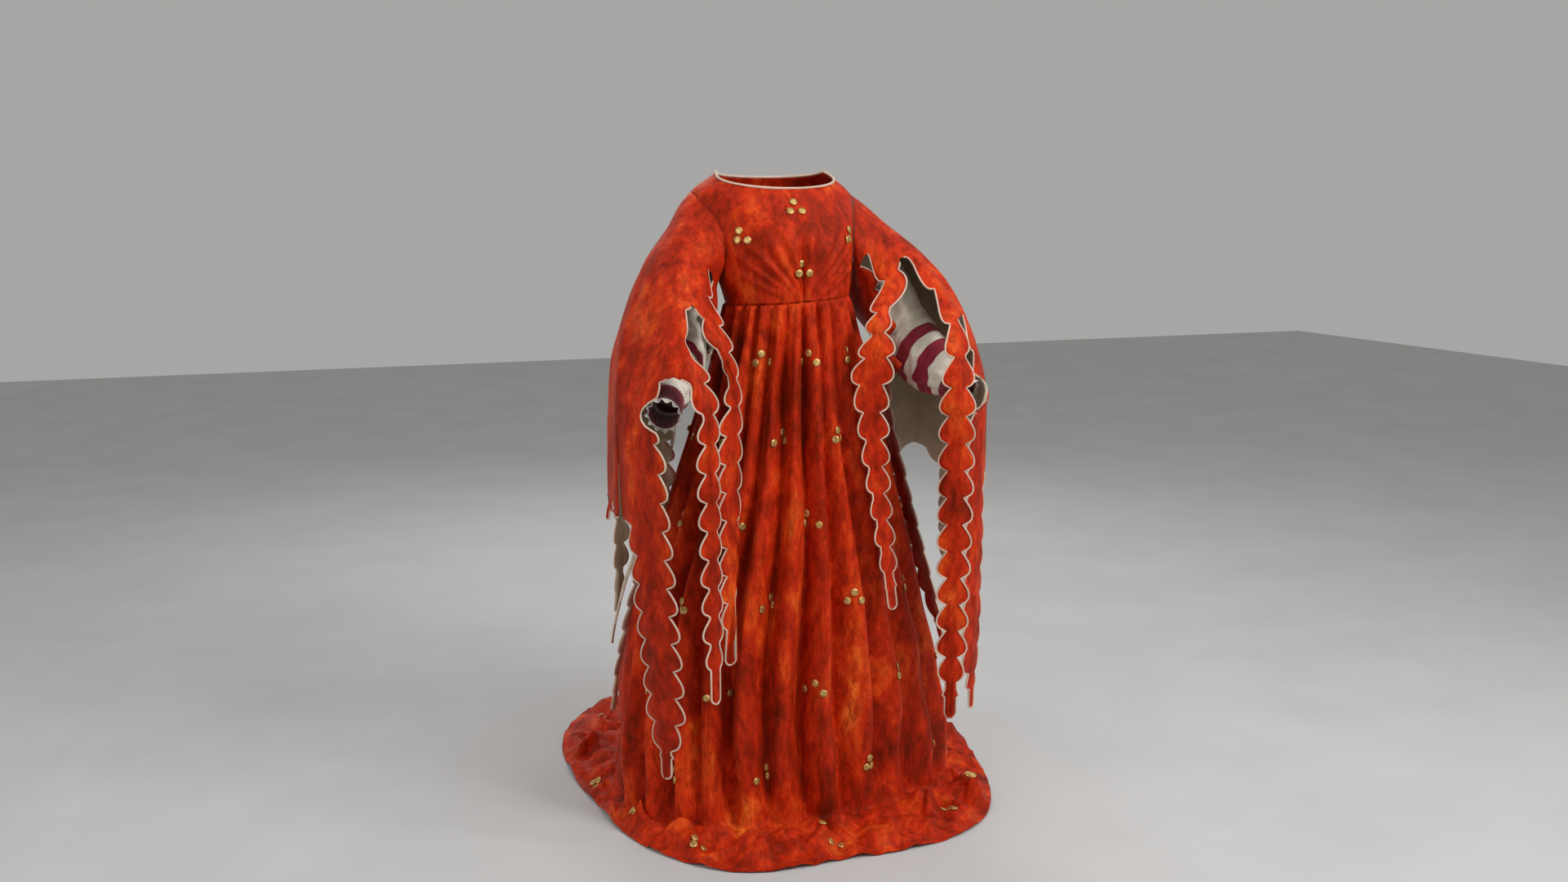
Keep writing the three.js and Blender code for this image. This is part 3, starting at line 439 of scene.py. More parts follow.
def weave_group() -> None:
    """Plain weave: crossing threads as a height, with a mask of uneven yarn."""
    tree, given, leave = make_group("weave", {"Threads": 900.0}, ("Height", "Slub"))
    sockets = {0: given["Place"], "Scale": given["Threads"]}
    scaled = tree.node("ShaderNodeVectorMath", sockets, operation="SCALE")
    parts = tree.node("ShaderNodeSeparateXYZ", {0: scaled.outputs[0]}).outputs
    warp = tree.maths("SINE", tree.maths("ADD", parts["X"], parts["Y"]))
    weft = tree.maths("SINE", parts["Z"])
    slub = tree.noise(tree.stretch(given["Place"], (40.0, 40.0, 400.0)), 1.0, 3)
    tree.fill(leave, {"Height": tree.maths("MULTIPLY", warp, weft), "Slub": slub.outputs["Fac"]})


def nap_group() -> None:
    """Crushed pile: where the nap lies over, how high it stands, and fine fibres."""
    tree, given, leave = make_group("nap", {"Scale": 9.0, "Drag": 0.45}, ("Lay", "Height", "Fibre"))
    place = given["Place"]
    bent = tree.vector("MULTIPLY_ADD", tree.noise(place, 5.0, 2).outputs["Color"], (0.05, 0.05, 0.05), place)
    drag = tree.node("ShaderNodeCombineXYZ", {0: 1.0, 1: 1.0, 2: given["Drag"]})
    pulled = tree.vector("MULTIPLY", bent, drag.outputs[0])
    lay = tree.noise(pulled, given["Scale"], 8.0, Roughness=0.7, Distortion=0.25)
    crush = tree.noise(pulled, 60.0, 5, Roughness=0.7, Distortion=0.3)
    fibre = tree.noise(tree.stretch(place, (900.0, 900.0, 260.0)), 1.0, 2)
    found = {"Lay": lay, "Height": crush, "Fibre": fibre}
    tree.fill(leave, {key: made.outputs["Fac"] for key, made in found.items()})


def new_material(name: str) -> tuple[Tree, Node, Material]:
    """A material with a bare shader.

    Returns:
        The tree, the shader node and the material.
    """
    material = bpy.data.materials.new(name)
    material.use_nodes = True
    return Tree(material.node_tree), material.node_tree.nodes["Principled BSDF"], material


def place_group(tree: Tree, name: str, **values: float) -> bpy.types.NodeOutputs:
    """Puts a group into a material on Object coordinates, and gives its outputs."""
    made = tree.node("ShaderNodeGroup")
    made.node_tree = bpy.data.node_groups[name]
    tree.fill(made, {"Place": tree.place(), **values})
    return made.outputs


@dataclass(frozen=True)
class CrushedVelvet:
    """Orange-red velvet whose pile is crushed in patches, with the pile's sheen and shade painted into its
    colour.
    """

    name: str = "crushed_velvet"
    scale: float = 11.0
    # Colours by the nap's lay: a painted shadow at the low end, the velvet's own red in the middle and a
    # painted orange highlight at the high end.
    lay_sheen_and_shade_colours: tuple[tuple[float, Tint], ...] = (
        (0.32, (0.12, 0.0030, 0.0008)),
        (0.43, (0.32, 0.0080, 0.0018)),
        (0.52, (0.51, 0.0180, 0.0028)),
        (0.61, (0.65, 0.0550, 0.0065)),
        (0.71, (0.82, 0.1550, 0.0200)),
    )

    def build(self) -> Material:
        """The material."""
        tree, shader, material = new_material(self.name)
        nap = place_group(tree, "nap", Scale=self.scale)
        lay, height, fibre = nap["Lay"], nap["Height"], nap["Fibre"]
        # Painted shade darkens the crushed pile where it lies deep, and a painted highlight lightens it where
        # it stands raised.
        deep, plain, raised = (0.42, 0.34, 0.34), (1.0, 1.0, 1.0), (1.3, 1.8, 1.8)
        crush_shade_and_highlight = tree.ramp(height, (0.34, deep), (0.52, plain), (0.68, raised))
        colour = tree.blend(0.8, tree.ramp(lay, *self.lay_sheen_and_shade_colours), crush_shade_and_highlight, "MULTIPLY")
        fibres = tree.ramp(fibre, (0.3, (0.15, 0.004, 0.0)), (0.7, (0.9, 0.12, 0.02)))
        heights = tree.maths("ADD", tree.maths("MULTIPLY", height, 0.8), tree.maths("MULTIPLY", lay, 1.4))
        heights = tree.maths("ADD", heights, tree.maths("MULTIPLY", fibre, 0.08))
        sockets = {
            "Base Color": tree.blend(0.06, colour, fibres),
            "Roughness": tree.maths("MULTIPLY_ADD", lay, -0.35, 0.72),
            "Sheen Weight": 0.22,
            "Sheen Roughness": 0.40,
            "Sheen Tint": (1.0, 0.20, 0.04, 1.0),
            "Specular IOR Level": 0.30,
            "Specular Tint": (1.0, 0.45, 0.22, 1.0),
            "Normal": tree.bump(heights, 0.55, 0.006),
        }
        tree.fill(shader, sockets)
        return material


@dataclass(frozen=True)
class WovenCotton:
    """Plain woven cloth with uneven yarn and soft stains."""

    name: str
    colour: Tint
    dull: Tint
    threads: float = 2600.0
    sheen: float = 0.15
    rough: float = 0.85

    def build(self) -> Material:
        """The material."""
        tree, shader, material = new_material(self.name)
        weave = place_group(tree, "weave", Threads=self.threads)
        stain = tree.noise(tree.place(), 14.0, 5).outputs["Fac"]
        base = tree.ramp(stain, (0.35, self.dull), (0.62, self.colour))
        shade = tree.ramp(weave["Slub"], (0.3, (0.86, 0.85, 0.83)), (0.7, (1.0, 1.0, 1.0)))
        height = tree.maths("ADD", weave["Height"], tree.maths("MULTIPLY", weave["Slub"], 2.0))
        sockets = {
            "Base Color": tree.blend(1.0, self.coloured(tree, base), shade, "MULTIPLY"),
            "Roughness": tree.maths("MULTIPLY_ADD", stain, 0.15, self.rough - 0.08),
            "Sheen Weight": self.sheen,
            "Normal": tree.bump(height, 0.3, 0.0004),
        }
        tree.fill(shader, sockets)
        return material

    def coloured(self, tree: Tree, base: Plug) -> Plug:
        """The cloth's colour before the weave shades it."""
        return base


@dataclass(frozen=True)
class StripedCotton(WovenCotton):
    """Cream cotton with wide crimson bands, by the UV map's second coordinate in metres down the arm."""

    band: Tint = (0.27, 0.006, 0.026)
    bands: tuple[tuple[float, float], ...] = ((0.322, 0.356), (0.382, 0.416))

    def coloured(self, tree: Tree, base: Plug) -> Plug:
        """Cream with its bands."""
        uv = tree.node("ShaderNodeUVMap", uv_map="cloth")
        down = tree.node("ShaderNodeSeparateXYZ", {0: uv.outputs["UV"]}).outputs["Y"]
        mask = None
        for start, end in self.bands:
            below, above = tree.maths("GREATER_THAN", down, start), tree.maths("LESS_THAN", down, end)
            inside = tree.maths("MULTIPLY", below, above)
            mask = inside if mask is None else tree.maths("ADD", mask, inside)
        return tree.blend(mask, base, self.band)


@dataclass(frozen=True)
class GoldPaint:
    """Dull gold leaf on cloth, rubbed in places."""

    name: str = "gold_disc"

    def build(self) -> Material:
        """The material."""
        tree, shader, material = new_material(self.name)
        rub = tree.noise(tree.place(), 160.0, 4).outputs["Fac"]
        dark, middle, bright = (0.30, 0.15, 0.035), (0.58, 0.36, 0.11), (0.80, 0.56, 0.22)
        sockets = {
            "Base Color": tree.ramp(rub, (0.3, dark), (0.5, middle), (0.7, bright)),
            "Metallic": 0.65,
            "Roughness": tree.maths("MULTIPLY_ADD", rub, 0.3, 0.28),
            "Normal": tree.bump(rub, 0.4, 0.0008),
        }
        tree.fill(shader, sockets)
        return material


class Finishes:
    """Every finish of the gown, built once."""

    def __init__(self) -> None:
        """Makes the groups and the materials."""
        weave_group()
        nap_group()
        cream = ((0.84, 0.80, 0.70), (0.66, 0.61, 0.50))
        tan = ((0.60, 0.51, 0.38), (0.46, 0.38, 0.27))
        crimson = ((0.24, 0.006, 0.022), (0.14, 0.003, 0.012))
        self.velvet = CrushedVelvet().build()
        self.lining = WovenCotton("tan_lining", *tan, threads=2200.0, sheen=0.3, rough=0.7).build()
        self.cotton = WovenCotton("cream_cotton", *cream).build()
        self.crimson = WovenCotton("crimson_cotton", *crimson, threads=2400.0, sheen=0.4).build()
        self.lace = WovenCotton("white_lace", (0.86, 0.84, 0.78), (0.70, 0.67, 0.60), 5200.0).build()
        self.cord = WovenCotton("pale_cord", (0.76, 0.56, 0.44), (0.62, 0.42, 0.31), 4200.0, 0.3).build()
        self.thread = WovenCotton("thread", (0.32, 0.02, 0.006), (0.22, 0.012, 0.004), 4200.0).build()
        self.gold = GoldPaint().build()
        self.striped = StripedCotton("striped_cotton", *cream).build()


# ---------------------------------------------------------------- Geometry Nodes
class NodeTool:
    """A Geometry Nodes tree with named inputs, used through a modifier and then applied."""

    def __init__(self, name: str, **inputs: Socket) -> None:
        """Starts the tree.

        Args:
            name: The tree's name.
            inputs: Each named input's kind. Every tool also takes a Finish.
        """
        self.group = bpy.data.node_groups.new(name, "GeometryNodeTree")
        face = self.group.interface
        face.new_socket("Geometry", in_out="INPUT", socket_type=Socket.SHAPE.value)
        self.keys: dict[str, str] = {}
        for key, kind in {**inputs, "Finish": Socket.FINISH}.items():
            self.keys[key] = face.new_socket(key, in_out="INPUT", socket_type=kind.value).identifier
        face.new_socket("Geometry", in_out="OUTPUT", socket_type=Socket.SHAPE.value)
        self.tree = Tree(self.group)
        self.given = self.tree.node("NodeGroupInput").outputs

    def end(self, shape: Plug) -> None:
        """Ends the tree in Realize Instances and Set Material."""
        real = self.tree.node("GeometryNodeRealizeInstances", {0: shape})
        sockets = {"Geometry": real.outputs[0], "Material": self.given["Finish"]}
        painted = self.tree.node("GeometryNodeSetMaterial", sockets)
        self.tree.node("NodeGroupOutput", {0: painted.outputs[0]})

    def end_on_points(self, points: Plug, shape: Plug, facing: Plug) -> None:
        """Ends the tree with a shape on every point, its own z axis along facing."""
        turn = self.tree.node("FunctionNodeAlignRotationToVector", {"Vector": facing}, axis="Z")
        sockets = {"Points": points, "Instance": shape, "Rotation": turn.outputs["Rotation"]}
        self.end(self.tree.node("GeometryNodeInstanceOnPoints", sockets).outputs["Instances"])

    def use(self, made: Piece, **values: object) -> None:
        """Runs the tree on an object and keeps the result as its mesh."""
        modifier = made.modifiers.new(self.group.name, "NODES")
        modifier.node_group = self.group
        for key, value in values.items():
            modifier[self.keys[key]] = value
        apply_modifiers(made)


def cord_tool() -> NodeTool:
    """A round cord along every chain of edges."""
    tool = NodeTool("cord_on_edge", Radius=Socket.NUMBER, Sides=Socket.WHOLE)
    given, node = tool.given, tool.tree.node
    path = node("GeometryNodeMeshToCurve", {"Mesh": given["Geometry"]}).outputs["Curve"]
    ring = node("GeometryNodeCurvePrimitiveCircle", {"Resolution": given["Sides"], "Radius": given["Radius"]})
    sockets = {"Curve": path, "Profile Curve": ring.outputs["Curve"], "Fill Caps": True}
    tool.end(node("GeometryNodeCurveToMesh", sockets).outputs["Mesh"])
    return tool


def disc_tool() -> NodeTool:
    """A thin disc on every point, facing along the point's own 'facing'."""
    tool = NodeTool("disc_on_point", Radius=Socket.NUMBER, Height=Socket.NUMBER)
    given, node = tool.given, tool.tree.node
    sockets = {"Vertices": 18, "Fill Segments": 2, "Radius": given["Radius"], "Depth": given["Height"]}
    disc = node("GeometryNodeMeshCylinder", sockets)
    facing = node("GeometryNodeInputNamedAttribute", {"Name": "facing"}, data_type="FLOAT_VECTOR")
    tool.end_on_points(given["Geometry"], disc.outputs["Mesh"], facing.outputs["Attribute"])
    return tool


def stitch_tool() -> NodeTool:
    """A row of short stitches along every chain of edges."""
    tool = NodeTool("stitch_on_seam", Pitch=Socket.NUMBER, Length=Socket.NUMBER, Radius=Socket.NUMBER)
    given, node = tool.given, tool.tree.node
    path = node("GeometryNodeMeshToCurve", {"Mesh": given["Geometry"]}).outputs["Curve"]
    even = node("GeometryNodeCurveToPoints", {"Curve": path, "Length": given["Pitch"]}, mode="LENGTH")
    sockets = {"Vertices": 6, "Radius": given["Radius"], "Depth": given["Length"]}
    thread = node("GeometryNodeMeshCylinder", sockets)
    tool.end_on_points(even.outputs["Points"], thread.outputs["Mesh"], even.outputs["Tangent"])
    return tool


# ---------------------------------------------------------------- bodice
@dataclass
class Bodice:
    """The fitted top: four velvet pieces, the neck binding and the seams."""

    finishes: Finishes
    columns: int = 44
    rows: int = 60
    wall: float = 0.0016
    neck_drop: tuple[float, float] = (0.040, 0.014)
    row_curve: float = 12.0
    side_rows: int = 11
    front_cut: tuple[float, float] = (0.27, 0.43)
    back_cut: tuple[float, float] = (0.23, 0.38)
    degree: float = 0.0027
    # Soft creases: from degrees and height, to degrees and height, width, depth.
    creases: tuple[tuple[float, ...], ...] = (
        (3, 1.185, 52, 1.345, 0.010, 0.0055),
        (6, 1.182, 60, 1.318, 0.009, 0.0050),
        (9, 1.180, 66, 1.290, 0.009, 0.0040),
        (12, 1.178, 72, 1.262, 0.008, 0.0035),
        (2, 1.190, 38, 1.370, 0.012, 0.0045),
        (-3, 1.185, -30, 1.330, 0.010, 0.0045),
        (-6, 1.182, -46, 1.312, 0.010, 0.0045),
        (-9, 1.180, -62, 1.285, 0.009, 0.0040),
        (-13, 1.178, -74, 1.255, 0.009, 0.0035),
        (-2, 1.200, -14, 1.350, 0.010, 0.0040),
        (1, 1.215, 14, 1.390, 0.012, 0.0030),
    )

    def neck_edge(self, side: int, front: bool, share: Array) -> Array:
        """The neck's edge by share of the way from the centre to the shoulder."""
        drop = self.neck_drop[0] if front else self.neck_drop[1]
        height = NECK_HEIGHT - drop * cos(90 * np.asarray(share))
        return torso(side * mix(0 if front else 180, 90, share), height)

    def surface(self, side: int, front: bool) -> Array:
        """Points of one piece, row by row from the waist up, column by column from the centre."""
        turns = np.linspace(180, 0 if front else 360, self.rows - 2 * self.side_rows)
        angle, height = armhole(turns)
        side_foot = waist_height(90 * side)
        low = np.linspace(side_foot, UNDERARM_HEIGHT, self.side_rows + 1)[:-1]
        high = np.linspace(SHOULDER_HEIGHT, NECK_HEIGHT, self.side_rows + 1)[1:]
        heights = np.concatenate([low, height, high])[:, None]
        straight = np.full(self.side_rows, 90.0)
        angles = np.concatenate([straight, angle, straight])[:, None]
        share = (np.linspace(0, 1, self.columns) ** 1.15)[None, :]
        centre = 0 if front else 180
        up = (heights - side_foot) / (NECK_HEIGHT - side_foot)
        tilt = (waist_height(side * mix(centre, 90, share)) - side_foot) * (1 - up)
        drop = (self.neck_edge(side, front, share)[..., 2] - NECK_HEIGHT) * up**self.row_curve
        around = side * mix(centre, angles, share)
        points = torso(around, heights + tilt + drop)
        return self.creased(points, around)

    def creased(self, points: Array, around: Array) -> Array:
        """Adds the pulled folds and a soft unevenness, kept off the edges."""
        out = unit(points - np.stack(np.broadcast_arrays(0, TORSO("y", points[..., 2]), points[..., 2]), -1))
        arc, z = around * self.degree, points[..., 2]
        moved = np.zeros(z.shape)
        for a0, z0, a1, z1, width, depth in self.creases:
            start, end = np.array([a0 * self.degree, z0]), np.array([a1 * self.degree, z1])
            along = end - start
            length = np.linalg.norm(along)
            along = along / length
            du, dv = arc - start[0], z - start[1]
            t = (du * along[0] + dv * along[1]) / length
            off = du * along[1] - dv * along[0]
            wide = width * (0.5 + 0.9 * np.clip(t, 0, 1))
            ridge = np.exp(-((off / wide) ** 2)) - 0.5 * np.exp(-(((off - 1.6 * wide) / wide) ** 2))
            moved += 1.7 * depth * ridge * smooth(t, -0.05, 0.12) * (1 - smooth(t, 0.55, 1.0))
        above_waist = smooth(z, WAIST_HEIGHT + 0.010, WAIST_HEIGHT + 0.040)
        moved += 0.0014 * ripple(arc, z, 0.07, 0.10, 11) * above_waist
        edge = 1 - smooth(z, 1.395, 1.425)
        return points + out * (moved * edge)[..., None]

    def build(self) -> None:
        """Makes and dresses the bodice."""
        for name, side in (("right", -1), ("left", 1)):
            for place, front in (("front", True), ("back", False)):
                points = self.surface(side, front)
                made = make_object(f"velvet_bodice_{place}_{name}", points, grid_faces(*points.shape[:2]))
                point_outwards(made, (0, 0, 1.3))
                thicken(made, self.wall)
                dress(made, self.finishes.velvet, "velvet", (f"bodice_{place}_{name}",))
        self.binding()
        self.seams()

    def binding(self) -> None:
        """The cord that binds the neck."""
        shares = np.linspace(0, 1, 30)
        quarters = [
            self.neck_edge(1, True, shares[::-1]),
            self.neck_edge(-1, True, shares),
            self.neck_edge(-1, False, shares[::-1]),
            self.neck_edge(1, False, shares),
        ]
        loop = np.concatenate([quarter[:-1] for quarter in quarters])
        for _ in range(10):
            loop = (np.roll(loop, 1, 0) + 2 * loop + np.roll(loop, -1, 0)) / 4
        loop[:, 2] += 0.0024
        made = path_object("neck_cord", [loop], closed=True)
        CORD.use(made, Radius=0.0029, Sides=10, Finish=self.finishes.cord)
        dress(made, self.finishes.cord, "binding", ("neck_binding",))

    def seams(self) -> None:
        """Stitches round the armholes."""
        chains = []
        for side in (-1, 1):
            edge = armhole_edge(np.linspace(6, 354, 90), side) * np.array([side, 1, 1])
            middle = edge.mean(0)
            chains.append(edge + unit(edge - middle) * 0.004 + np.array([-side * 0.0005, 0, 0]))
        made = path_object("armhole_stitches", chains)
        STITCH.use(made, Pitch=0.006, Length=0.003, Radius=0.0005, Finish=self.finishes.thread)
        dress(made, self.finishes.thread, "velvet")


# ---------------------------------------------------------------- skirt
@dataclass
class Skirt:
    """The gathered skirt and the train that lies on the floor all round."""

    finishes: Finishes
    columns_a_fold: int = 22
    fall_rows: int = 92
    train_rows: int = 40
    wall: float = 0.0016
    lift: float = 0.0026
    # Each panel's first and last fold, and its flat cut: greatest width, greatest length and area.
    panels: tuple[tuple[str, int, int, float, float, float], ...] = (
        ("skirt_back_right", 0, 4, 0.90, 1.56, 0.82),
        ("skirt_side_right", 4, 8, 0.52, 1.33, 0.54),
        ("skirt_front", 8, 14, 0.92, 1.36, 1.00),
        ("skirt_side_left", 14, 18, 0.65, 1.44, 0.66),
        ("skirt_back_left", 18, 22, 0.90, 1.56, 0.90),
    )

    def fold_wave(self, angle: Array) -> Array:
        """How far the cloth stands out at a place round the waist, as a share of the ring's fold."""
        turned = (angle - FOLDS[0, 0] + 720) % 360 + FOLDS[0, 0]
        i = np.clip(np.searchsorted(FOLDS[:, 0], turned, side="right"), 1, len(FOLDS) - 1)
        share = (turned - FOLDS[i - 1, 0]) / (FOLDS[i, 0] - FOLDS[i - 1, 0])
        crest = 0.5 + 0.5 * np.cos(2 * math.pi * share)
        return (2 * crest**0.62 - 1) * mix(FOLDS[i - 1, 1], FOLDS[i, 1], share)

    def gathers(self, angle: Array, z: Array) -> Array:
        """Small gathers that leave the waist seam, and long uneven creases lower down."""
        near = smooth(z, 1.02, 1.160) * (1 - smooth(z, 1.166, 1.176))
        fine = 0.0030 * np.cos(np.radians(angle * 44 + 40 * sin(angle * 3))) * near
        mid = smooth(z, 0.10, 0.55) * (1 - smooth(z, 1.0, 1.13))
        arc = angle * 0.0045
        long = 0.0075 * ripple(arc, z, 0.085, 0.85, 21) * mid
        crush = 0.0026 * ripple(arc, z, 0.045, 0.20, 22) * mid
        low = 0.0095 * ripple(arc, z, 0.13, 0.30, 23) * smooth(0.50 - z, 0, 0.30)
        return fine + long + crush + low

    def ring(self, angle: Array, z: Array, extra: Array = 0.0) -> Array:
        """A point of the falling skirt."""
        across = np.where(sin(angle) > 0, SKIRT("left", z), SKIRT("right", z))
        depth = np.where(cos(angle) > 0, SKIRT("front", z), SKIRT("back", z))
        meander = angle + 1.6 * smooth(1.15 - z, 0, 0.3) * sin(z * 420 + angle * 2)
        stand = SKIRT("fold", z) * self.fold_wave(meander) + extra
        out = 1 + stand / np.hypot(across * sin(angle), depth * cos(angle))
        x = SKIRT("x", z) + across * sin(angle) * out
        y = SKIRT("y", z) - depth * cos(angle) * out
        return np.stack(np.broadcast_arrays(x, y, z), -1)

    def fall(self, angle: Array, z: Array) -> Array:
        """The falling skirt with its creases."""
        return self.ring(angle, z, self.gathers(angle, z))

    def train(self, angle: Array, share: Array) -> Array:
        """The cloth over the floor, from where it lands to the hem."""
        landing = self.fall(angle, np.full(np.shape(angle), LANDING))
        bearing = np.degrees(np.arctan2(landing[..., 0], -landing[..., 1]))
        reach = HEM("reach", bearing)
        landed = np.hypot(landing[..., 0], landing[..., 1])
        r = mix(landed, np.maximum(reach, landed + 0.024), share)
        x, y = r * sin(bearing), -r * cos(bearing)
        humps = np.abs(ripple(x, y, 0.18, 0.18, 31)) ** 1.4 * 0.024
        humps = humps + np.abs(ripple(x, y, 0.08, 0.08, 32)) * 0.009
        ridge = np.exp(-(((ripple(x, y, 0.22, 0.22, 33)) / 0.13) ** 2)) * 0.018
        fold = 0.010 * np.clip(self.fold_wave(angle), 0, 1) * (1 - smooth(share, 0, 0.8))
        swell = smooth(share, 0, 0.25) - 0.72 * smooth(share, 0.72, 1.0)
        lying = (humps + ridge) * swell + fold * smooth(share, 0, 0.1)
        z = self.lift + LANDING * (1 - share) ** 3 + lying
        return np.stack([x, y, z], -1)

    def panel(self, start: float, end: float, columns: int) -> Array:
        """Points of one panel, row by row from the waist down to the hem."""
        angle = np.linspace(start, end, columns)
        top = waist_height(angle)
        share = np.linspace(0, 1, self.fall_rows)[:, None] ** 1.05
        z = mix(top[None, :], LANDING, share)
        fall = self.fall(np.broadcast_to(angle, z.shape), z)
        rows = np.linspace(0, 1, self.train_rows + 1)[1:, None]
        around = np.broadcast_to(angle, (self.train_rows, columns))
        train = self.train(around, np.broadcast_to(rows, around.shape))
        fall[..., 2] += self.lift * smooth(0.2 - fall[..., 2], 0, 0.166)
        return np.concatenate([fall, train])

    def build(self) -> None:
        """Makes and dresses the panels."""
        for name, first, last, width, length, area in self.panels:
            columns = (last - first) * self.columns_a_fold + 1
            points = self.panel(FOLDS[first, 0], FOLDS[last, 0], columns)
            made = make_object(f"velvet_{name}", points, grid_faces(*points.shape[:2]))
            point_outwards(made, (0, -0.04, 0.5))
            thicken(made, self.wall)
            dress(made, self.finishes.velvet, "velvet", (name,))
        self.hem_stitches()

    def hem_stitches(self) -> None:
        """The stitched turn-up line near the hem."""
        angle = np.linspace(-171, 189, 900)
        chain = self.train(angle, np.full(angle.shape, 0.90))
        chain[:, 2] += 0.0004
        made = path_object("hem_stitches", [chain[:-1]])
        STITCH.use(made, Pitch=0.011, Length=0.006, Radius=0.0006, Finish=self.finishes.thread)
        dress(made, self.finishes.thread, "velvet")


# ---------------------------------------------------------------- sleeves
@dataclass(frozen=True)
class Strip:
    """One streamer: where its slash starts, its tip, its two hanging edges, and how far the tip swings."""

    slash: float
    tip: float
    x1: float
    y1: float
    x2: float
    y2: float
    swing: float = 0.0


@dataclass(frozen=True)
class Slide:
    """Holds a slash open round one height by moving a strip's first edge, middle and second edge."""

    strip: int
    z: float
    over: float
    first: float
    middle: float
    second: float


ARM_COLUMNS = "at x y z r"
LEFT_ARM = Table(
    ARM_COLUMNS,
    (0, 0.168, 0.008, 1.320, 0.056),
    (1, 0.242, -0.028, 1.222, 0.044),
    (2, 0.284, -0.078, 1.096, 0.064),
    (3, 0.316, -0.150, 1.026, 0.064),
    (4, 0.340, -0.206, 0.990, 0.038),
    (5, 0.358, -0.250, 0.966, 0.034),
)
RIGHT_ARM = Table(
    ARM_COLUMNS,
    (0, 0.168, 0.008, 1.320, 0.056),
    (1, 0.228, -0.024, 1.216, 0.043),
    (2, 0.250, -0.082, 1.084, 0.062),
    (3, 0.288, -0.156, 1.016, 0.062),
    (4, 0.314, -0.210, 0.982, 0.038),
    (5, 0.334, -0.256, 0.956, 0.036),
)
SECTION_COLUMNS = "z x y across deep tilt"
LEFT_SECTIONS = Table(
    SECTION_COLUMNS,
    (1.320, 0.172, 0.008, 0.085, 0.080, 5),
    (1.275, 0.205, 0.000, 0.082, 0.096, 36),
    (1.215, 0.246, -0.022, 0.100, 0.122, 49),
    (1.130, 0.280, -0.056, 0.112, 0.158, 60),
    (1.050, 0.296, -0.084, 0.112, 0.184, 72),
    (0.960, 0.300, -0.100, 0.112, 0.196, 84),
    (0.900, 0.300, -0.104, 0.112, 0.200, 90),
)
RIGHT_SECTIONS = Table(
    SECTION_COLUMNS,
    (1.320, 0.172, 0.008, 0.085, 0.080, 5),
    (1.270, 0.192, 0.002, 0.084, 0.098, 28),
    (1.200, 0.220, -0.018, 0.098, 0.130, 44),
    (1.120, 0.240, -0.045, 0.106, 0.165, 58),
    (1.040, 0.262, -0.075, 0.108, 0.195, 72),
    (0.950, 0.276, -0.096, 0.110, 0.205, 84),
    (0.880, 0.280, -0.100, 0.110, 0.208, 90),
)
LEFT_STRIPS = (
    Strip(0.790, 0.246, 0.418, -0.226, 0.340, -0.292, -0.006),
    Strip(1.112, 0.250, 0.330, -0.322, 0.278, -0.300, -0.004),
    Strip(1.240, 0.490, 0.180, -0.206, 0.110, -0.186, 0.014),
    Strip(1.290, 0.330, 0.248, -0.076, 0.262, -0.004),
    Strip(0.820, 0.190, 0.284, 0.056, 0.318, 0.096),
    Strip(0.800, 0.420, 0.456, 0.066, 0.472, 0.004),
    Strip(0.790, 0.690, 0.472, -0.018, 0.438, -0.196),
)
RIGHT_STRIPS = (
    Strip(0.730, 0.180, 0.410, -0.222, 0.352, -0.300, -0.046),
    Strip(1.032, 0.352, 0.274, -0.322, 0.236, -0.304, -0.008),
    Strip(1.158, 0.408, 0.208, -0.244, 0.154, -0.208),
    Strip(1.262, 0.380, 0.236, 0.000, 0.236, 0.066),
    Strip(0.840, 0.150, 0.196, 0.140, 0.250, 0.150),
    Strip(0.800, 0.440, 0.318, 0.134, 0.356, 0.100),
    Strip(0.740, 0.700, 0.384, 0.060, 0.414, -0.130),
)
LEFT_SLIDES = (
    Slide(0, 0.985, 0.078, 0, -0.020, -0.050),
    Slide(2, 1.140, 0.100, 0.084, 0.052, 0),
    Slide(2, 1.170, 0.060, 0, 0.008, 0.030),
    Slide(3, 1.100, 0.110, 0.034, 0.018, 0),
)
RIGHT_SLIDES = (
    Slide(0, 0.985, 0.060, 0, -0.030, -0.060),
    Slide(1, 1.110, 0.050, 0, -0.014, -0.044),
    Slide(2, 1.030, 0.080, 0.050, 0.022, 0),
)
# One dag of the cut edge: how far down it is, and how far it stands out.
DAG = np.array(
    [
        (0.000, 0.000), (0.005, 0.0040), (0.012, 0.0090), (0.020, 0.0142), (0.028, 0.0184), (0.036, 0.0208),
        (0.043, 0.0210), (0.0490, 0.0190), (0.0535, 0.0150), (0.0570, 0.0085),
    ]
)
DAG_PITCH, DAG_DEPTH = 0.060, 0.021
FINGER_LENGTH, FINGER_WIDTH = 0.047, 0.026
SETTLE_FROM, SETTLE_OVER, SETTLE_TO = 1.240, 0.300, 0.940


